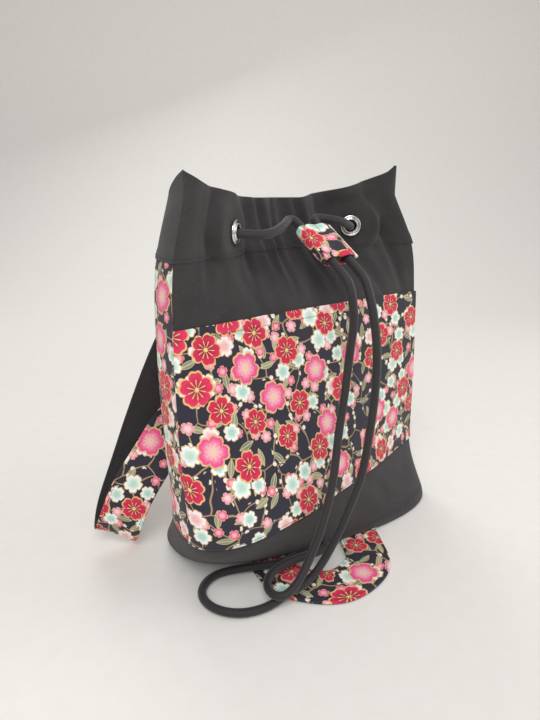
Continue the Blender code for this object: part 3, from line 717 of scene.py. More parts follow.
@functools.cache
def blossom_group():
    """Five-petalled flowers scattered one to a cell, each turned its own way.

    Mask is where petals are, Radial runs from the heart to the petal's edge, Line is the
    printed outline, Stamen the threads and dots of the heart, and Pick a number for each flower.
    """
    petals, threads = 5, 10
    tree, given = group_of(
        "blossoms", "ShaderNodeTree",
        (("Vector", VECTOR), ("Cell", NUMBER), ("Radius", NUMBER), ("Share", NUMBER), ("Petal Depth", NUMBER),
         ("Shift", VECTOR)),
        [(name, NUMBER) for name in ("Mask", "Radial", "Line", "Stamen", "Pick")])
    do = Nodes(tree)
    spread = do.scale(given["Vector"], do.math("DIVIDE", 1.0, given["Cell"]))
    place = do.vector("ADD", spread, given["Shift"])
    cells = do.cells(place, 1.0, 0.42)
    turn_pick, size_pick, place_pick = do.chances(cells)
    local = do.vector("SUBTRACT", place, cells["Position"])
    x, y = do.plan(local)
    reach = add_node(tree, "ShaderNodeVectorMath", {0: local}, operation="LENGTH").outputs["Value"]
    turned = do.math("MULTIPLY_ADD", turn_pick, FULL_TURN, do.math("ARCTAN2", y, x))

    # The petal's edge: round lobes with a notch in each tip
    lobe = do.math("ABSOLUTE", do.math("COSINE", do.math("MULTIPLY", turned, petals / 2)))
    waist = do.math("SUBTRACT", 1.0, given["Petal Depth"])
    lobed = do.math("MULTIPLY_ADD", do.math("POWER", lobe, 0.55), given["Petal Depth"], waist)
    notched = do.math("MULTIPLY_ADD", do.math("POWER", lobe, 14.0), -0.09, lobed)
    size = do.math("MULTIPLY", do.math("MULTIPLY_ADD", size_pick, 0.3, 0.82), given["Radius"])
    radial = do.math("DIVIDE", reach, do.math("MULTIPLY", notched, size))
    there = do.math("LESS_THAN", place_pick, given["Share"])
    mask = do.math("MULTIPLY", do.map(radial, 0.985, 1.03, 1.0, 0.0), there)
    line = do.map(do.math("ABSOLUTE", do.math("SUBTRACT", radial, 0.95)), 0.035, 0.075, 1.0, 0.0)

    share_out = do.math("DIVIDE", reach, size)
    ray = do.map(do.math("COSINE", do.math("MULTIPLY", turned, threads)), 0.72, 0.92)
    thread = do.math("MULTIPLY", ray, do.map(share_out, 0.46, 0.52, 1.0, 0.0))
    stamen = do.math("MAXIMUM", thread, do.map(share_out, 0.10, 0.14, 1.0, 0.0))
    add_node(tree, "NodeGroupOutput", {"Mask": mask, "Radial": radial, "Line": line, "Stamen": stamen,
                                       "Pick": size_pick})
    return tree


@functools.cache
def leaf_group():
    """Pointed leaves scattered one to a cell. Mask, the pale vein and outline, and a number each."""
    tree, given = group_of("leaves", "ShaderNodeTree",
                           (("Vector", VECTOR), ("Cell", NUMBER), ("Length", NUMBER), ("Slim", NUMBER),
                            ("Share", NUMBER)),
                           (("Mask", NUMBER), ("Line", NUMBER), ("Pick", NUMBER)))
    do = Nodes(tree)
    place = do.scale(given["Vector"], do.math("DIVIDE", 1.0, given["Cell"]))
    cells = do.cells(place, 1.0, 0.5)
    turn_pick, shade_pick, place_pick = do.chances(cells)
    local = do.vector("SUBTRACT", place, cells["Position"])
    x, y = do.plan(do.turn(local, do.math("MULTIPLY", turn_pick, FULL_TURN)))
    along = do.math("DIVIDE", x, given["Length"])
    belly = do.math("SUBTRACT", 1.0, do.math("POWER", along, 2.0))
    away = do.math("ABSOLUTE", y)
    spare = do.math("SUBTRACT", do.math("MULTIPLY", belly, given["Slim"]), away)
    there = do.math("LESS_THAN", place_pick, given["Share"])
    mask = do.math("MULTIPLY", do.map(spare, 0.0, 0.015), there)
    line = do.math("MAXIMUM", do.map(away, 0.012, 0.03, 1.0, 0.0), do.map(spare, 0.02, 0.045, 1.0, 0.0))
    add_node(tree, "NodeGroupOutput", {"Mask": mask, "Line": line, "Pick": shade_pick})
    return tree


@functools.cache
def black_twill(name, dark, pale):
    """Cotton twill, piece-dyed black: dull, with fine diagonal ribs and a little lint.

    Real ribs are about 0.7 mm apart. They are drawn 1.5 mm apart so that they show.
    """
    made, do = new_material(name, 0.88, Sheen_Weight=0.12, Sheen_Roughness=0.6)
    cloth = do.cloth()
    normal, ribs = do.weave(cloth, 1.5, 0.75, math.radians(52))
    # Painted shade: the colour follows the ribs' height, darker in their hollows and lighter on their crests,
    # mixed with random tone
    rib_shade_and_tone = do.math("MULTIPLY_ADD", ribs, 0.45, do.noise(cloth, 0.035, 4.0)[0])
    shade = do.mix(do.map(rib_shade_and_tone, 0.3, 1.15), dark, pale)
    lint = do.map(do.cells(cloth, 0.09)["Distance"], 0.02, 0.035, 0.35, 0.0)
    do.paint(do.mix(lint, shade, "#8b8580"), normal)
    return made


# Flower layers, back to front: cell in millimetres, radius as a share of the cell, share of
# cells that hold one, petal depth, turn and shift, then (up to a pick of, heart, petal edge)
FLOWERS = (
    (14.7, 0.38, 0.46, 0.42, 0.5, (3.1, 7.7, 0), ((0.5, "#f6b9cc", "#ee4f8f"), (1.0, "#fbe3ea", "#f28fb4"))),
    (24.0, 0.40, 0.60, 0.40, 1.3, (8.3, 1.9, 0), ((0.55, "#5fd0d8", "#f4f6f2"), (0.8, "#f29ab9", "#fbeef0"),
                                                  (1.0, "#8adfe2", "#f7f7f1"))),
    (38.0, 0.41, 0.80, 0.38, 2.2, (0.4, 4.6, 0), ((0.52, "#8f1238", "#d81e50"), (0.78, "#f7c4d4", "#ee4f8f"),
                                                  (1.0, "#a3153f", "#e32b5c"))),
)


@functools.cache
def blossom_print(name, turn=0.0):
    """Printed cotton poplin: crisp plain weave, slightly smooth, flowers on navy with gold lines.

    The layout is its own, of flowers 9 to 35 mm across. The weave's real 0.3 mm thread is
    drawn at 0.9 mm so that it shows.
    """
    made, do = new_material(name, 0.72, Sheen_Weight=0.08)
    cloth = do.cloth()
    layout = do.turn(cloth, turn)
    ground = do.mix(do.noise(layout, 0.03)[0], "#1d1a2a", "#2b2739")

    # Twigs: thin wandering tan lines, with white buds beside them
    bent = do.scale(do.noise(layout, 0.022, 1.5)["Color"], 46.0)
    twigs = do.cells(do.vector("ADD", layout, bent), 1 / 26, feature="DISTANCE_TO_EDGE")["Distance"]
    ground = do.mix(do.map(twigs, 0.018, 0.034, 1.0, 0.0), ground, "#a98f6a")
    buds = do.cells(layout, 1 / 7.5, 0.8)
    some = do.math("LESS_THAN", do.chances(buds)[0], 0.5)
    dot = do.math("MULTIPLY", do.map(buds["Distance"], 0.26, 0.31, 1.0, 0.0), some)
    dot = do.math("MULTIPLY", dot, do.map(twigs, 0.10, 0.13, 1.0, 0.0))
    ground = do.mix(dot, ground, "#efe6d2")

    leaves = do.group(leaf_group(), Vector=layout, Cell=19.0, Length=0.46, Slim=0.17, Share=0.62)
    green = do.mix(leaves["Line"], do.mix(leaves["Pick"], "#6f7a70", "#a3a98f"), "#d6c48e")
    ground = do.mix(leaves["Mask"], ground, green)

    for cell, radius, share, petal_depth, lean, shift, colours in FLOWERS:
        flower = do.group(blossom_group(), Vector=do.turn(layout, lean), Cell=cell, Radius=radius,
                          Share=share, Petal_Depth=petal_depth, Shift=shift)
        heart, edge = (do.steps(flower["Pick"], [(row[0], row[which]) for row in colours])
                       for which in (1, 2))
        petal = do.mix(do.map(flower["Radial"], 0.12, 0.75), heart, edge)
        petal = do.mix(flower["Line"], petal, "#e2c27e")
        petal = do.mix(flower["Stamen"], petal, "#ecd289")
        ground = do.mix(flower["Mask"], ground, petal)
    do.paint(ground, do.weave(cloth, 0.9, 0.3, 0.0)[0])
    return made


@functools.cache
def braided_cord():
    """Polyester braid, piece-dyed black: lengthwise ribs of small plaits with a soft sheen."""
    made, do = new_material("braided_polyester_cord", 0.62, Sheen_Weight=0.2)
    run, around = (add_node(do.tree, "ShaderNodeAttribute", attribute_name=name).outputs["Fac"]
                   for name in ("run", "around"))
    # Each plait slants by its own length across a rib
    along = do.math("MULTIPLY", run, 2 * math.pi / PLAIT_LENGTH)
    slant = do.math("MULTIPLY_ADD", around, 2 * math.pi * CORD_RIBS, along)
    # Painted shade: the colour follows each plait's height, darker in its hollow and lighter on its crest, as
    # its bump does
    level = do.map(do.math("SINE", slant), -1.0, 1.0)
    do.paint(do.mix(level, "#141213", "#2f2a2b"), do.bump(0.5, 0.3 * MM, level))
    return made


@functools.cache
def polished_nickel():
    """Brass eyelets plated with nickel and tumbled: bright, with faint scuffs."""
    made, do = new_material("polished_nickel_plate", 0.16, Metallic=1.0)
    scuffs = do.noise(do.place(), 900.0, 3.0)[0]
    do.paint(do.mix(scuffs, "#cfcdc8", "#e6e5e2"), roughness=do.map(scuffs, 0.3, 0.8, 0.1, 0.3))
    return made


@functools.cache
def sewing_thread(name, dark="#1b191a", pale="#3a3637"):
    """Spun polyester thread: two plies with a dull shine."""
    made, do = new_material(name, 0.6, Sheen_Weight=0.1)
    do.paint(do.mix(do.noise(do.place(), 1500.0)[0], dark, pale))
    return made


# ---- geometry node trees
def run_tree(source, tree, values):
    """Runs a node tree on an object with its named inputs set, and returns a plain mesh object."""
    modifier = source.modifiers.new(tree.name, "NODES")
    modifier.node_group = tree
    for item in tree.interface.items_tree:
        if item.in_out == "INPUT" and item.name in values:
            modifier[item.identifier] = values[item.name]
    return settle(source)


def finished(tree, made, given):
    """Ends a tree: its instances made real, shaded smooth and given the tree's finish."""
    real = add_node(tree, "GeometryNodeRealizeInstances", {0: made.outputs[0]})
    smooth = add_node(tree, "GeometryNodeSetShadeSmooth", {0: real.outputs[0]})
    painted = add_node(tree, "GeometryNodeSetMaterial",
                       {"Geometry": smooth.outputs[0], "Material": given["Finish"]})
    add_node(tree, "NodeGroupOutput", {0: painted.outputs[0]})
    return tree


@functools.cache
def stitch_tree():
    """Short thread stitches laid along every line of the input curve."""
    tree, given = group_of("stitches", "GeometryNodeTree",
                           (("Geometry", SHAPE), ("Pitch", NUMBER), ("Length", NUMBER), ("Thread", NUMBER),
                            ("Finish", FINISH)),
                           (("Geometry", SHAPE),))
    spaced = add_node(tree, "GeometryNodeResampleCurve",
                      {"Curve": given["Geometry"], "Length": given["Pitch"]}, mode="LENGTH")
    tangent = add_node(tree, "GeometryNodeInputTangent")
    facing = add_node(tree, "FunctionNodeAlignRotationToVector", {"Vector": tangent.outputs[0]}, axis="Z")
    bead = add_node(tree, "GeometryNodeMeshUVSphere", {"Segments": 8, "Rings": 6, "Radius": 0.5})
    size = add_node(tree, "ShaderNodeCombineXYZ",
                    {0: given["Thread"], 1: given["Thread"], 2: given["Length"]})
    placed = add_node(tree, "GeometryNodeInstanceOnPoints",
                      {"Points": spaced.outputs[0], "Instance": bead.outputs["Mesh"],
                       "Rotation": facing.outputs[0], "Scale": size.outputs[0]})
    return finished(tree, placed, given)


@functools.cache
def cord_tree():
    """A ribbed round cord along the input curve, slowly twisting, with run and around stored on it."""
    tree, given = group_of("ribbed_cord", "GeometryNodeTree",
                           (("Geometry", SHAPE), ("Diameter", NUMBER), ("Rib Depth", NUMBER),
                            ("Ribs", "NodeSocketInt"), ("Step", NUMBER), ("Twist", NUMBER),
                            ("Finish", FINISH)),
                           (("Geometry", SHAPE),))
    do = Nodes(tree)

    def mark(geometry, name, value):
        return add_node(tree, "GeometryNodeStoreNamedAttribute",
                        {"Geometry": geometry.outputs[0], "Name": name, "Value": value},
                        data_type="FLOAT", domain="POINT").outputs[0]

    spaced = add_node(tree, "GeometryNodeResampleCurve",
                      {"Curve": given["Geometry"], "Length": given["Step"]}, mode="LENGTH")
    length = add_node(tree, "GeometryNodeSplineParameter").outputs["Length"]
    tilted = add_node(tree, "GeometryNodeSetCurveTilt",
                      {"Curve": spaced.outputs[0], "Tilt": do.math("MULTIPLY", length, given["Twist"])})
    outer = do.math("MULTIPLY", given["Diameter"], 0.5)
    star = add_node(tree, "GeometryNodeCurveStar",
                    {"Points": given["Ribs"], "Outer Radius": outer,
                     "Inner Radius": do.math("SUBTRACT", outer, given["Rib Depth"])})
    turn = add_node(tree, "GeometryNodeSplineParameter").outputs["Factor"]
    tube = add_node(tree, "GeometryNodeCurveToMesh",
                    {"Curve": mark(tilted, "run", length), "Profile Curve": mark(star, "around", turn),
                     "Fill Caps": True})
    return finished(tree, tube, given)


# ---- routes of the cords and straps
def slider_directions():
    along = (SLIDER_END - SLIDER_TOP).normalized()
    across = Vector((1, 0, 0))
    across = (across - along * across.dot(along)).normalized()
    return along, across, along.cross(across)


def channel_ends(side):
    along, across = slider_directions()[:2]
    start = SLIDER_TOP + across * side * CHANNEL_SPACING / 2
    return start - along * ENTRY_LEAD, start + along * (SLIDER_LENGTH + SLIDE_TRAVEL + ENTRY_LEAD)


def through_eyelet(place, distance):
    """A point of the cord on its way through an eyelet, resting on the hole's lower edge."""
    drop = (EYELET_HOLE - CORD_DIAMETER) / 2 - CORD_REST_GAP
    return place[0] + place[1] * distance - Vector((0, 0, drop))


def free_cord_points():
    """The cord outside the bag, from one front eyelet to the other."""
    lead = slider_directions()[0] * CORD_LEAD
    left, right = eyelet_frames(True)
    left_in, left_end = channel_ends(-1)
    right_in, right_end = channel_ends(1)
    hanging = millimetres([
        (-6, -80.5, 286), (-4, -82, 275), (2, -79, 254), (6, -72, 224), (2, -72, 188), (-5, -73, 149),
        (-17, -79, 103), (-34, -84, 66), (-50, -86, 40), (-68, -90, 24), (-84, -90, 17), (-90, -81, 15.5),
        (-88, -70, 15.5), (-80, -61, 16), (-66, -56, 16.5), (-50, -56, 17), (-35, -59, 17), (-20, -62, 17),
        (-6, -61.5, 16), (2, -53.5, 13), (-6, -46, 10), (-20, -45, 9), (-40, -45.5, 9), (-60, -40.5, 9),
        (-78, -30, 8.5), (-98, -17, 5), (-112, -15, 5), (-126, -20, 5), (-135, -31, 5), (-136, -47, 5),
        (-129, -62, 5), (-117, -73, 5), (-102, -79, 5), (-88, -82, 7), (-71, -82, 9), (-56, -82, 9.5),
        (-42, -82, 13), (-30, -83, 24), (-20, -86, 42), (-9, -89, 66), (9, -91, 106), (18, -91, 152),
        (22, -91, 190), (21, -91, 227), (17, -89, 257), (15, -85, 275), (14, -81, 286),
    ])
    from_left = [through_eyelet(left, CORD_OUT), through_eyelet(left, CORD_CLEAR)]
    from_left += places((-57, -31, 330), (-34, -23, 335), (-18, -11, 340), (-10, -9, 340.5))
    from_left += [left_in - lead, left_in]
    to_right = [right_in, right_in - lead, *places((14, -9, 340.5), (23, -11, 341), (42, -21, 337))]
    to_right += [through_eyelet(right, CORD_CLEAR), through_eyelet(right, CORD_OUT)]
    down = [left_end, left_end + lead] + hanging + [right_end + lead, right_end]
    first = [through_eyelet(left, -CORD_JOIN)] + smooth_path(from_left, 44)
    last = smooth_path(to_right, 36) + [through_eyelet(right, -CORD_JOIN)]
    return soften([Vector(point) for point in first + smooth_path(down, 600) + last])


def rim_cord_points():
    """The cord inside the rim: round each side, and outside between the back eyelets."""
    front_left, front_right = eyelet_frames(True)
    back_left, back_right = sorted(eyelet_frames(False), key=lambda eyelet: eyelet[0].x)
    front_in, back_in, side_in = (-RIM_CORD_INSET * share for share in (0.6, 0.8, 1.15))

    def inside(across, on_front):
        here, outward = wall_frame(across, on_front, False)
        return here + outward * side_in

    left_side = [inside(-0.72, True), inside(-0.86, False), inside(-0.66, False)]
    right_side = [inside(0.66, False), inside(0.86, False), inside(0.80, True)]
    middle = (back_left[0] + back_right[0]) / 2
    bight = free_wall_point(turn_at(0.0, False), EYELET_Z, False) + Vector((0, BACK_BIGHT, -2 * MM))
    bight.x = middle.x
    end = CORD_JOIN + SEWN_GAP
    route = [through_eyelet(front_left, distance) for distance in (-end, front_in)] + left_side
    route += [through_eyelet(back_left, distance) for distance in (back_in, CORD_OUT, RIM_CORD_OUT)] + [bight]
    route += [through_eyelet(back_right, distance) for distance in (RIM_CORD_OUT, CORD_OUT, back_in)]
    route += right_side + [through_eyelet(front_right, distance) for distance in (front_in, -end)]
    return soften([Vector(point) for point in smooth_path([tuple(point) for point in route], 230)], 5)


def strap_seat(x, z, lift=0.0):
    """Where a strap lies flat on the back of the bag, or lifts off it, and its width's direction."""
    level = section_at(z)
    half = (level.right_x - level.left_x) / 2
    middle = (level.right_x + level.left_x) / 2
    spots = []
    for step in (-1, -0.5, 0, 0.5, 1):
        across = (x + step * STRAP_WIDTH / 2 - middle) / half
        spots.append(wall_point(turn_at(across, False), z, False))
    along = (spots[0] - spots[-1]).normalized()
    outward = Vector((-along.y, along.x, 0))
    if outward.y < 0:
        outward.negate()
    reach = max((spot - spots[2]).dot(outward) for spot in spots)
    seat = spots[2] + outward * (reach + STRAP_THICK / 2 + STRAP_SEAT_GAP + lift)
    return (*seat, *along)


def left_strap_route():
    top = [strap_seat(-30 * MM, 306 * MM), strap_seat(-31 * MM, 284 * MM, STRAP_LIFT)]
    foot = [strap_seat(-66 * MM, 50 * MM, STRAP_LIFT), strap_seat(-66 * MM, 26 * MM)]
    return top + millimetres([
        (-60, 98, 240, -0.95, 0.2, 0.2),
        (-81, 112, 192, -0.86, 0.33, 0.39), (-104, 121, 135, -0.86, 0.36, 0.37),
        (-130, 120, 78, -0.84, 0.38, 0.37), (-152, 113, 36, -0.8, 0.42, 0.38),
        (-163, 98, 16, -0.72, 0.5, 0.43), (-163, 82, 36, -0.67, 0.58, 0.46),
        (-151, 73, 71, -0.64, 0.6, 0.48), (-124, 73, 105, -0.64, 0.58, 0.5),
        (-97, 82, 127, -0.65, 0.54, 0.52), (-76, 90, 135, -0.68, 0.56, 0.44),
        (-54, 100, 131, -0.75, 0.55, 0.3), (-40, 115, 116, -0.82, 0.48, 0.2),
        (-38, 120, 98, -0.85, 0.45, 0.15), (-45, 117, 81, -0.88, 0.42, 0.1), (-58, 108, 66, -0.9, 0.4, 0.0),
    ]) + foot


def under_base(run):
    one, two = run
    along = (two - one).normalized()
    rest = Vector((0, 0, STRAP_REST_Z))
    across = Vector((-along.y, along.x, 0))
    return [(*(one.lerp(two, share) + rest), *across) for share in (0.0, 0.5, 1.0)]


def right_strap_route():
    rest = STRAP_REST_Z / MM
    top = [strap_seat(24 * MM, 306 * MM), strap_seat(25 * MM, 284 * MM, STRAP_LIFT)]
    return top + millimetres([
        (30, 93, 250, -0.95, 0.2, 0), (36, 110, 205, -0.6, 0.8, 0),
        (40, 130, 140, 0.3, 0.95, 0), (38, 150, 70, 0.95, 0.2, 0), (30, 150, 22, 0.92, -0.3, 0),
        (20, 132, rest + 0.6, 0.92, -0.39, 0),
    ]) + under_base(STRAP_RUNS[0]) + millimetres([
        (-54, -40, rest, 0.94, -0.3, 0),
        (-52, -70, rest, 0.95, 0.25, 0), (-22, -98, rest, 0.4, 0.9, 0),
        (22, -94, rest, -0.35, 0.94, 0), (46, -64, rest, -0.84, 0.54, 0),
    ]) + under_base(STRAP_RUNS[1]) + millimetres([
        (116, 70, rest, -0.88, 0.47, 0),
    ])


# ---- pieces
def strap_frames(path):
    """Each point of a strap's path with its width's and its face's direction."""
    frames = []
    for index, entry in enumerate(path):
        here = Vector(entry[:3])
        ahead = Vector(path[min(index + 1, len(path) - 1)][:3])
        behind = Vector(path[max(index - 1, 0)][:3])
        along = (ahead - behind).normalized()
        across = Vector(entry[3:6])
        across = (across - along * across.dot(along)).normalized()
        frames.append((here, across, along.cross(across)))
    return frames


def strap_ribbon(name, path, finishes):
    """A strap of a printed face and a black back, its edges wrapped and a little rounded."""
    frames = strap_frames(path)
    half, thick = STRAP_WIDTH / 2, STRAP_THICK / 2
    # Places across the width, with how thick the cloth is there: flat, dimpled at the stitch
    # line, full at the wrapped edge
    face = [(-1.0, 0.35), (-0.985, 0.75), (-0.95, 0.98), (-0.89, 0.95), (-0.85, 0.72), (-0.8, 0.88)]
    face += [(share / 10, 0.9) for share in range(-6, 7, 2)]
    face += [(-share, level) for share, level in face[5::-1]]
    profile = face + [(share, -level) for share, level in face[::-1]]
    columns = len(profile)
    points, faces, uvs, kinds = [], [], [], []
    walk = running_length([here for here, across, facing in frames])
    for (here, across, facing), at in zip(frames, walk):
        for share, level in profile:
            ripple = noise.noise(Vector((at * 22.0, share * 0.8, 3.3))) * 0.25 * MM * (1 - share * share)
            points.append(here + across * share * half + facing * (level * thick + ripple))
    width_at = [share * half for share, level in profile]
    for corners, spots in quads(len(frames), columns):
        faces.append(corners)
        uvs += [(width_at[which % columns], walk[at]) for at, which in spots]
        column = spots[0][1]
        kinds.append(0 if column < len(face) or column == columns - 1 else 1)
    for row in (0, len(frames) - 1):
        faces.append(tuple(row * columns + column for column in range(columns)))
        uvs += [(width_at[column], walk[row]) for column in range(columns)]
        kinds.append(0)
    return new_piece(name, points, faces, uvs, finishes, kinds)


def strap_stitch_lines(path):
    lines = []
    for side in (-1, 1):
        for face in (-1, 1):
            line = []
            for here, across, facing in strap_frames(path):
                out = STRAP_WIDTH * STITCH_ACROSS * side
                line.append(here + across * out + facing * face * STRAP_THICK * STITCH_HIGH)
            lines.append(line)
    return lines


def sew(name, lines, thread):
    """Stitches along lines of points, as one piece."""
    sizes = bpy.context.scene.bag_sizes
    return run_tree(line_curve(name, lines), stitch_tree(), {
        "Pitch": sizes.stitch_pitch, "Length": sizes.stitch_length, "Thread": sizes.thread,
        "Finish": sewing_thread(thread),
    })


def ring_line(z, outside, first, last):
    """Points of a stitch line round the wall at one height."""
    ring = offset_ring(level_ring(z), outside)
    count = len(ring)
    return [ring[index % count] for index in range(first, last + 1)]


def lathe(name, profile, place, outward, finish, steps=72):
    """A ring turned about an eyelet's axis from (radius, outward distance) points."""
    facing = outward.to_track_quat("Z", "Y").to_matrix()
    points, faces, uvs = [], [], []
    columns = len(profile)
    for step in range(steps):
        angle = 2 * math.pi * step / steps
        for radius, depth in profile:
            spot = Vector((radius * math.cos(angle), radius * math.sin(angle), depth))
            points.append(place + facing @ spot)
    for face, spots in quads(steps, columns, True):
        faces.append(face)
        uvs += [(spots[0][0] / steps, spots[0][1] / columns)] * 4
    return new_piece(name, points, faces, uvs, [finish])


def length_of(name, description, default, low, high):
    """A length for the panel, given in millimetres."""
    return FloatProperty(name=name, description=description, default=default * MM, min=low * MM,
                         max=high * MM, unit="LENGTH", precision=4)


class BagSizes(bpy.types.PropertyGroup):
    """Sizes that change the bag's finish."""
    stitch_pitch: length_of("Stitch Pitch", "From one stitch to the next", 3.0, 1.5, 6)
    stitch_length: length_of("Stitch Length", "How long a stitch shows", 2.2, 1, 5)
    thread: length_of("Thread", "How thick the thread is", 0.55, 0.2, 1)
    cord_diameter: length_of("Cord Diameter", "Across the drawstring", CORD_DIAMETER / MM, 4, 10)
    cord_ribs: IntProperty(name="Cord Ribs", description="Ribs round the drawstring",
                           default=CORD_RIBS, min=6, max=24)
    fold_depth: FloatProperty(name="Folds", description="How deep the cloth creases, 1 as sewn",
                              default=1.0, min=0.0, max=1.5)


class BagColours(bpy.types.PropertyGroup):
    """Colours of the stage."""
    floor: FloatVectorProperty(name="Floor", description="Colour of the floor", subtype="COLOR", size=4,
                               default=linear("#e9e6e0"), min=0.0, max=1.0)
    sky: FloatVectorProperty(name="Backdrop", description="Colour behind the bag", subtype="COLOR", size=4,
                             default=linear("#f1efea"), min=0.0, max=1.0)


class BAG_OT_panels(bpy.types.Operator):
    """Sews the front, the back, the pocket and the bottom band"""
    bl_idname = "bag.panels"
    bl_label = "Cloth Panels"

    def execute(self, context):
        count = STEPS_FRONT + STEPS_BACK
        print_rings = [level_ring(z) for z in heights(PRINT_BOTTOM_Z + SEWN_GAP, PRINT_TOP_Z, PRINT_ROW)]
        upper_rings = [level_ring(z) for z in heights(PRINT_TOP_Z, HEM_Z - SEWN_GAP, UPPER_ROW)]
        body_rings = print_rings + upper_rings[1:]
        band_rings = [level_ring(z) for z in heights(BASE_SEAM_Z, PRINT_BOTTOM_Z, BAND_ROW)]
        twill = black_twill("black_cotton_twill", "#1b1819", "#373233")
        # The band's copy of the twill is a little darker than the body's, as painted shade low on the bag
        band_twill = black_twill("black_cotton_twill_band", "#191717", "#332e2f")
        pocket_print = blossom_print("blossom_poplin_pocket")
        back_print = blossom_print("blossom_poplin_back", 0.9)

        front = cloth_shell("front_cloth", body_rings, 0, STEPS_FRONT, 0.0, CLOTH_THICK, [twill])
        back = cloth_shell("back_cloth", body_rings, STEPS_FRONT, count, 0.0, CLOTH_THICK, [back_print])
        pocket_out = SEWN_GAP + POCKET_THICK
        pocket = cloth_shell("pocket_cloth", print_rings, 0, STEPS_FRONT, pocket_out, POCKET_THICK,
                             [pocket_print])
        band = cloth_shell("bottom_band_cloth", band_rings, 0, count, 0.0, CLOTH_THICK, [band_twill])
        for piece, node, slot in ((front, "front_panel", "black_twill"), (back, "back_panel", "back_print"),
                                  (pocket, "front_pocket", "pocket_print"),
                                  (band, "bottom_band", "band_twill")):
            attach(piece, BAG)
            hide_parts(node)
        return {"FINISHED"}


class BAG_OT_base(bpy.types.Operator):
    """Makes the stiff base, turned up all round to its seam"""
    bl_idname = "bag.base"
    bl_label = "Base"

    def execute(self, context):
        under = level_ring(0.0)
        middle = sum(under, Vector()) / len(under)
        levels = [(0.0, -BASE_EDGE_INSET), (0.4 * MM, -4 * MM), (1.2 * MM, -2.2 * MM), (3 * MM, -0.6 * MM),
                  (5 * MM, 0.0), (9 * MM, 0.35 * MM), (12 * MM, 0.3 * MM), (BASE_SEAM_Z - SEWN_GAP, 0.0),
                  (BASE_SEAM_Z - SEWN_GAP, -CLOTH_THICK), (8 * MM, -CLOTH_THICK - 1.5 * MM),
                  (BASE_THICK, -BASE_EDGE_INSET)]
        outline = []
        for z, inset in levels:
            ring = offset_ring(level_ring(z), inset)
            for point in ring:
                point.z = z
            outline.append(ring)

        def drawn_in(ring, share, z):
            return [Vector((*middle.lerp(point, share).xy, z)) for point in ring]

        below = [drawn_in(outline[0], share, 0.0)
                 for share in [0.02] + [step / BASE_RINGS for step in range(1, BASE_RINGS)]]
        above = []
        for step in range(BASE_RINGS - 1, 0, -3):
            sag = BASE_SAG * math.sin(math.pi * step / BASE_RINGS)
            above.append(drawn_in(outline[-1], step / BASE_RINGS, BASE_THICK - sag))
        rings = below + outline + above
        count = len(under)
        points = [point for ring in rings for point in ring]
        for point in points:
            if point.z < CHANNEL_DEPTH:
                point.z = max(point.z, self.hollow(point))
        faces = [face for face, spots in quads(len(rings), count)]
        faces += [tuple(row * count + column for column in range(count)) for row in (0, len(rings) - 1)]
        uvs = [(points[corner].x, points[corner].y) for face in faces for corner in face]
        # The base's copy of the twill is darker than the body's, as painted shade under the bag
        twill = black_twill("black_cotton_twill_base", "#181516", "#302b2c")
        base = new_piece("base_cloth", points, faces, uvs, [twill])
        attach(base, BAG)
        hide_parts("base_panel")
        return {"FINISHED"}

    def hollow(self, point):
        """How high the underside arches over a strap that passes below it."""
        rise = 0.0
        for one, two in STRAP_RUNS:
            past = (two - one) * CHANNEL_OVERRUN
            start, end = one - past, two + past
            along = (end - start).normalized()
            reach = (point - start).dot(along)
            off = abs((point - start).dot(Vector((-along.y, along.x, 0))))
            side = (STRAP_WIDTH / 2 + CHANNEL_SIDE + CHANNEL_SLOPE - off) / CHANNEL_SLOPE
            if 0 < reach < (end - start).length:
                rise = max(rise, CHANNEL_DEPTH * min(max(side, 0.0), 1.0))
        return rise


class BAG_OT_rim(bpy.types.Operator):
    """Makes the rim facing with its ears, hem and eyelet holes"""
    bl_idname = "bag.rim"
    bl_label = "Rim"

    def execute(self, context):
        rings = []
        for share in heights(0.0, 1.0, RIM_ROW_SHARE):
            rings.append(ring_points(
                lambda turn, on_front, share=share: HEM_Z + (rim_height(turn, on_front) - HEM_Z) * share
            ))
        # The rim's copy of the twill is a little lighter than the body's, as painted light on the top of the
        # bag
        twill = black_twill("black_cotton_twill_rim", "#1c191a", "#3a3435")
        rim = cloth_shell("rim_cloth", rings, 0, STEPS_FRONT + STEPS_BACK, 0.0, CLOTH_THICK, [twill],
                          proud=lambda share: HEM_PROUD * max(0.0, 1 - share / HEM_FADE) ** 0.5)
        for index, (place, outward) in enumerate(eyelet_frames(True) + eyelet_frames(False), 1):
            made = bmesh.new()
            radius = EYELET_HOLE / 2 + 0.5 * MM
            bmesh.ops.create_cone(made, segments=32, cap_ends=True, radius1=radius, radius2=radius,
                                  depth=20 * MM)
            turn = outward.to_track_quat("Z", "Y").to_matrix().to_4x4()
            bmesh.ops.transform(made, matrix=Matrix.Translation(place) @ turn, verts=made.verts)
            mesh = bpy.data.meshes.new(f"hole_{index}")
            made.to_mesh(mesh)
            made.free()
            punch = show(mesh.name, mesh)
            cut = rim.modifiers.new("cut", "BOOLEAN")
            cut.operation = "DIFFERENCE"
            cut.object = punch
            settle(rim)
            bpy.data.objects.remove(punch)
        shade(rim.data)
        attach(rim, BAG)
        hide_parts("rim_band")
        return {"FINISHED"}


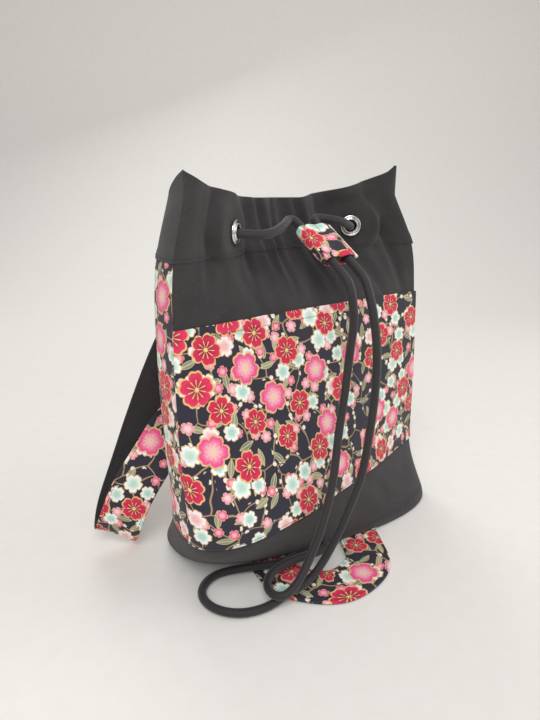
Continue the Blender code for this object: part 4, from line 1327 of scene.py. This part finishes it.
class BAG_OT_eyelets(bpy.types.Operator):
    """Sets the nickel eyelets and the washers behind the cloth"""
    bl_idname = "bag.eyelets"
    bl_label = "Eyelets"

    def execute(self, context):
        outer, hole = EYELET_OUTER / 2, EYELET_HOLE / 2
        front = CLOTH_THICK * 0.9 + SEWN_GAP
        back = -CLOTH_THICK * 1.9 - SEWN_GAP
        # A raised rolled lip round the hole, a shallow valley and a rounded flange give the double ring
        ring = [(outer, front), (outer, front + 0.25 * MM), (outer - 0.4 * MM, front + 0.95 * MM)]
        ring += [(outer - 1.0 * MM, front + 1.3 * MM), (outer - 1.8 * MM, front + 1.15 * MM)]
        ring += [(outer - 2.4 * MM, front + 0.8 * MM), (hole + 2.2 * MM, front + 1.0 * MM)]
        for step in range(9):
            angle = math.pi * step / 8
            ring.append((hole + LIP_RADIUS + LIP_RADIUS * math.cos(angle),
                         front + 1.25 * MM + LIP_RADIUS * math.sin(angle)))
        ring += [(hole, front), (hole, back - 1.2 * MM), (hole + 0.8 * MM, back - 1.2 * MM)]
        ring += [(hole + 0.8 * MM, front - 0.2 * MM)]
        inner = hole + 1.1 * MM
        washer = [(outer, back), (inner, back), (inner, back - 0.7 * MM),
                  ((outer + inner) / 2, back - 1.0 * MM), (outer - 0.4 * MM, back - 0.7 * MM)]
        for index, (place, outward) in enumerate(eyelet_frames(True) + eyelet_frames(False), 1):
            for name, profile in (("eyelet", ring), ("eyelet_washer", washer)):
                piece = lathe(f"{name}_{index}_metal", profile, place, outward, polished_nickel())
                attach(piece, BAG)
                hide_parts(f"{name}_{index}")
        return {"FINISHED"}


class BAG_OT_cords(bpy.types.Operator):
    """Threads the drawstring: through the slider outside, and round inside the rim"""
    bl_idname = "bag.cords"
    bl_label = "Drawstring"

    def execute(self, context):
        sizes = context.scene.bag_sizes
        for name, node, points in (("drawstring", "free_cord", free_cord_points()),
                                   ("drawstring_in_rim", "rim_cord", rim_cord_points())):
            path = [list(point[:3]) for point in points]
            source = line_curve(name, [path])
            piece = run_tree(source, cord_tree(), {
                "Diameter": sizes.cord_diameter, "Rib Depth": 0.6 * MM, "Ribs": sizes.cord_ribs,
                "Step": 1.7 * MM, "Twist": 9.0, "Finish": braided_cord(),
            })
            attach(piece, BAG)
            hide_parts(node)
        return {"FINISHED"}


class BAG_OT_slider(bpy.types.Operator):
    """Sews the cloth slider that grips both strands"""
    bl_idname = "bag.slider"
    bl_label = "Cord Slider"

    def execute(self, context):
        along, across, facing = slider_directions()
        steps, rows = 64, 22
        outline = []
        for step in range(steps):
            angle = 2 * math.pi * step / steps
            wide, deep = math.cos(angle), math.sin(angle)
            x = math.copysign(abs(wide) ** 0.62, wide) * SLIDER_WIDTH / 2
            waist = 1 - SLIDER_WAIST * math.exp(-(x / WAIST_REACH) ** 2)
            y = math.copysign(abs(deep) ** 0.55, deep) * SLIDER_THICK / 2 * waist
            outline.append((x, y))
        rings = []
        for wall in (0.0, SLIDER_WALL):
            for row in range(rows):
                share = row / (rows - 1)
                lip = 1.0 if 0 < row < rows - 1 else SLIDER_LIP
                size = lip * min(1 - SLIDER_SWELL * math.cos(2 * math.pi * share), 1.0)
                ring = []
                for x, y in outline:
                    inward = Vector((x, y, 0)).normalized() * wall
                    spot = SLIDER_TOP + along * SLIDER_LENGTH * share
                    ring.append(spot + across * (x * size - inward.x) + facing * (y * size - inward.y))
                rings.append((ring, share * SLIDER_LENGTH))
        loop = rings[:rows] + rings[:rows - 1:-1]
        points = [point for ring, at in loop for point in ring]
        faces, uvs = [], []
        turn_width = PRINT_TURN * SLIDER_WIDTH / steps
        for face, spots in quads(len(loop), steps, True):
            faces.append(face)
            uvs += [(at * turn_width, loop[which][1] + PRINT_SHIFT) for which, at in spots]
        sleeve = new_piece("slider_cloth", points, faces, uvs, [blossom_print("blossom_poplin_slider", 0.35)])
        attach(sleeve, SLIDER)
        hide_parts("cord_slider")

        beside = across * (SLIDER_WIDTH / 2 + 0.5 * MM) + facing * 1.8 * MM
        edge = [SLIDER_TOP + along * SLIDER_LENGTH * (-0.01 + 1.02 * step / 30) + beside
                for step in range(31)]
        piping = run_tree(line_curve("slider_piping", [edge]), cord_tree(), {
            "Diameter": 3.0 * MM, "Rib Depth": 0.2 * MM, "Ribs": 8, "Step": 0.6 * MM, "Twist": 260.0,
            "Finish": sewing_thread("white_cotton_piping", "#e8e2da", "#fbf9f4"),
        })
        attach(piping, SLIDER)
        rows_of_thread = []
        # The cloth is nearest to the slider's middle along its waist, where it is stitched
        high = SLIDER_THICK / 2 * (1 - SLIDER_WAIST) + 0.1 * MM
        for side in (1, -1):
            rows_of_thread.append([
                SLIDER_TOP + along * SLIDER_LENGTH * (0.04 + 0.92 * step / 20) + facing * side * high
                for step in range(21)
            ])
        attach(sew("slider_stitches", rows_of_thread, "black_polyester_thread"), SLIDER)
        return {"FINISHED"}


class BAG_OT_straps(bpy.types.Operator):
    """Makes the two straps, printed on one side and black on the other"""
    bl_idname = "bag.straps"
    bl_label = "Straps"

    def execute(self, context):
        # The straps' black back is a little darker than the body's twill, as painted shade behind and under
        # the bag
        finishes = [blossom_print("blossom_poplin_strap", 1.3),
                    black_twill("black_cotton_twill_strap", "#191617", "#322d2e")]
        lines = []
        for node, route in (("left_strap", left_strap_route()), ("right_strap", right_strap_route())):
            path = smooth_path(route, 420)
            strap = strap_ribbon(node + "_cloth", path, finishes)
            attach(strap, BAG)
            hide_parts(node)
            lines += strap_stitch_lines(path)
        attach(sew("strap_stitches", lines, "black_polyester_thread_strap"), BAG)
        return {"FINISHED"}


class BAG_OT_stitching(bpy.types.Operator):
    """Sews the stitch lines of the hem, the pocket and the panels"""
    bl_idname = "bag.stitching"
    bl_label = "Stitching"

    def execute(self, context):
        count = STEPS_FRONT + STEPS_BACK
        raised = 0.1 * MM
        pocket_out = SEWN_GAP + POCKET_THICK + raised
        lines = [
            ring_line(HEM_Z + BY_SEAM, HEM_PROUD * 0.85 + raised, 0, count),
            ring_line(PRINT_TOP_Z - BY_HEM, pocket_out, 1, STEPS_FRONT - 1),
            ring_line(PRINT_BOTTOM_Z + BY_SEAM, pocket_out, 1, STEPS_FRONT - 1),
            ring_line(HEM_Z - BY_HEM, raised, STEPS_FRONT + 1, count - 1),
            ring_line(PRINT_BOTTOM_Z - BY_SEAM, raised, 0, count),
            ring_line(BASE_SEAM_Z + BY_SEAM, raised, 0, count),
        ]
        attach(sew("panel_stitches", lines, "black_polyester_thread_panels"), BAG)
        return {"FINISHED"}


# Name, place, size across and power of each soft light
LIGHTS = (("key", (-0.9, -1.0, 1.5), 1.1, 21.0), ("fill", (1.3, -0.9, 0.9), 1.2, 7.0),
          ("back", (0.5, 1.4, 1.4), 1.0, 9.0))
LIT_MIDDLE = Vector((0, 0, 0.17))


class BAG_OT_stage(bpy.types.Operator):
    """Lays the pale floor and sets the soft lights and the camera"""
    bl_idname = "bag.stage"
    bl_label = "Stage"

    def execute(self, context):
        scene = context.scene
        scene.view_settings.view_transform = "Standard"
        # Paper that lies flat under the bag and curves up behind it, square to the camera
        ahead = Vector((CAMERA_AHEAD[0], CAMERA_AHEAD[1], 0)).normalized()
        side = Vector((ahead.y, -ahead.x, 0))
        flat, curve, wide, top, steps = 1.1, 0.9, 12.0, 3.2, 24
        profile = [(-wide, 0.0), (flat, 0.0)]
        for step in range(1, steps + 1):
            angle = math.pi / 2 * step / steps
            profile.append((flat + curve * math.sin(angle), curve - curve * math.cos(angle)))
        profile.append((flat + curve, top))
        points = [ahead * along + side * reach + Vector((0, 0, high))
                  for along, high in profile for reach in (-wide, wide)]
        faces = [(row * 2, row * 2 + 1, row * 2 + 3, row * 2 + 2) for row in range(len(profile) - 1)]
        mesh = bpy.data.meshes.new("floor")
        mesh.from_pydata([tuple(point) for point in points], [], faces)
        mesh.shade_smooth()
        made, do = new_material("matt_paper_floor", 0.9)
        do.paint(do.mix(do.noise(do.place(), 60.0)[0], scene.bag_colours.floor, "#efece7"))
        mesh.materials.append(made)
        floor = show("floor", mesh)

        world = bpy.data.worlds.new("studio")
        scene.world = world
        world.use_nodes = True
        tree = world.node_tree
        tree.nodes.clear()
        rays = add_node(tree, "ShaderNodeLightPath")
        seen = add_node(tree, "ShaderNodeMath", {0: rays.outputs["Is Camera Ray"],
                                                 1: rays.outputs["Is Transmission Ray"]}, operation="MAXIMUM")
        lit = add_node(tree, "ShaderNodeBackground", {"Color": linear("#f3f3f5"), "Strength": 0.52})
        backdrop = add_node(tree, "ShaderNodeBackground", {"Color": scene.bag_colours.sky, "Strength": 1.0})
        both = add_node(tree, "ShaderNodeMixShader",
                        {0: seen.outputs[0], 1: lit.outputs[0], 2: backdrop.outputs[0]})
        add_node(tree, "ShaderNodeOutputWorld", {0: both.outputs[0]})

        for name, spot, size, power in LIGHTS:
            light = bpy.data.lights.new(name, "AREA")
            light.size = size
            light.energy = power
            lamp = show(name, light)
            lamp.location = spot
            lamp.rotation_euler = (LIT_MIDDLE - Vector(spot)).to_track_quat("-Z", "Y").to_euler()

        lens = bpy.data.cameras.new("camera")
        lens.sensor_width = 36.0
        lens.lens = CAMERA_LENS
        lens.clip_start = 0.01
        camera = show("camera", lens)
        turn = Matrix((CAMERA_RIGHT, CAMERA_UP, [-value for value in CAMERA_AHEAD])).transposed().to_4x4()
        camera.matrix_world = Matrix.Translation(CAMERA_PLACE) @ turn
        scene.camera = camera
        return {"FINISHED"}


class BAG_PT_panel(bpy.types.Panel):
    """Sizes, colours and the buttons that make each group of pieces"""
    bl_label = "Bucket Backpack"
    bl_space_type = "VIEW_3D"
    bl_region_type = "UI"
    bl_category = "Backpack"

    def draw(self, context):
        for group in (context.scene.bag_sizes, context.scene.bag_colours):
            for name in group.__annotations__:
                self.layout.prop(group, name)
        for step in STEPS:
            self.layout.operator(step.bl_idname)


STEPS = (BAG_OT_stage, BAG_OT_cords, BAG_OT_panels, BAG_OT_base, BAG_OT_rim, BAG_OT_eyelets,
         BAG_OT_slider, BAG_OT_straps, BAG_OT_stitching)
CLASSES = (BagSizes, BagColours, *STEPS, BAG_PT_panel)


def register():
    for item in CLASSES:
        bpy.utils.register_class(item)
    bpy.types.Scene.bag_sizes = PointerProperty(type=BagSizes)
    bpy.types.Scene.bag_colours = PointerProperty(type=BagColours)


def unregister():
    del bpy.types.Scene.bag_colours
    del bpy.types.Scene.bag_sizes
    for item in reversed(CLASSES):
        bpy.utils.unregister_class(item)


def main():
    register()
    for step in STEPS:
        getattr(bpy.ops.bag, step.bl_idname.split(".")[1])()


if __name__ == "__main__":
    main()
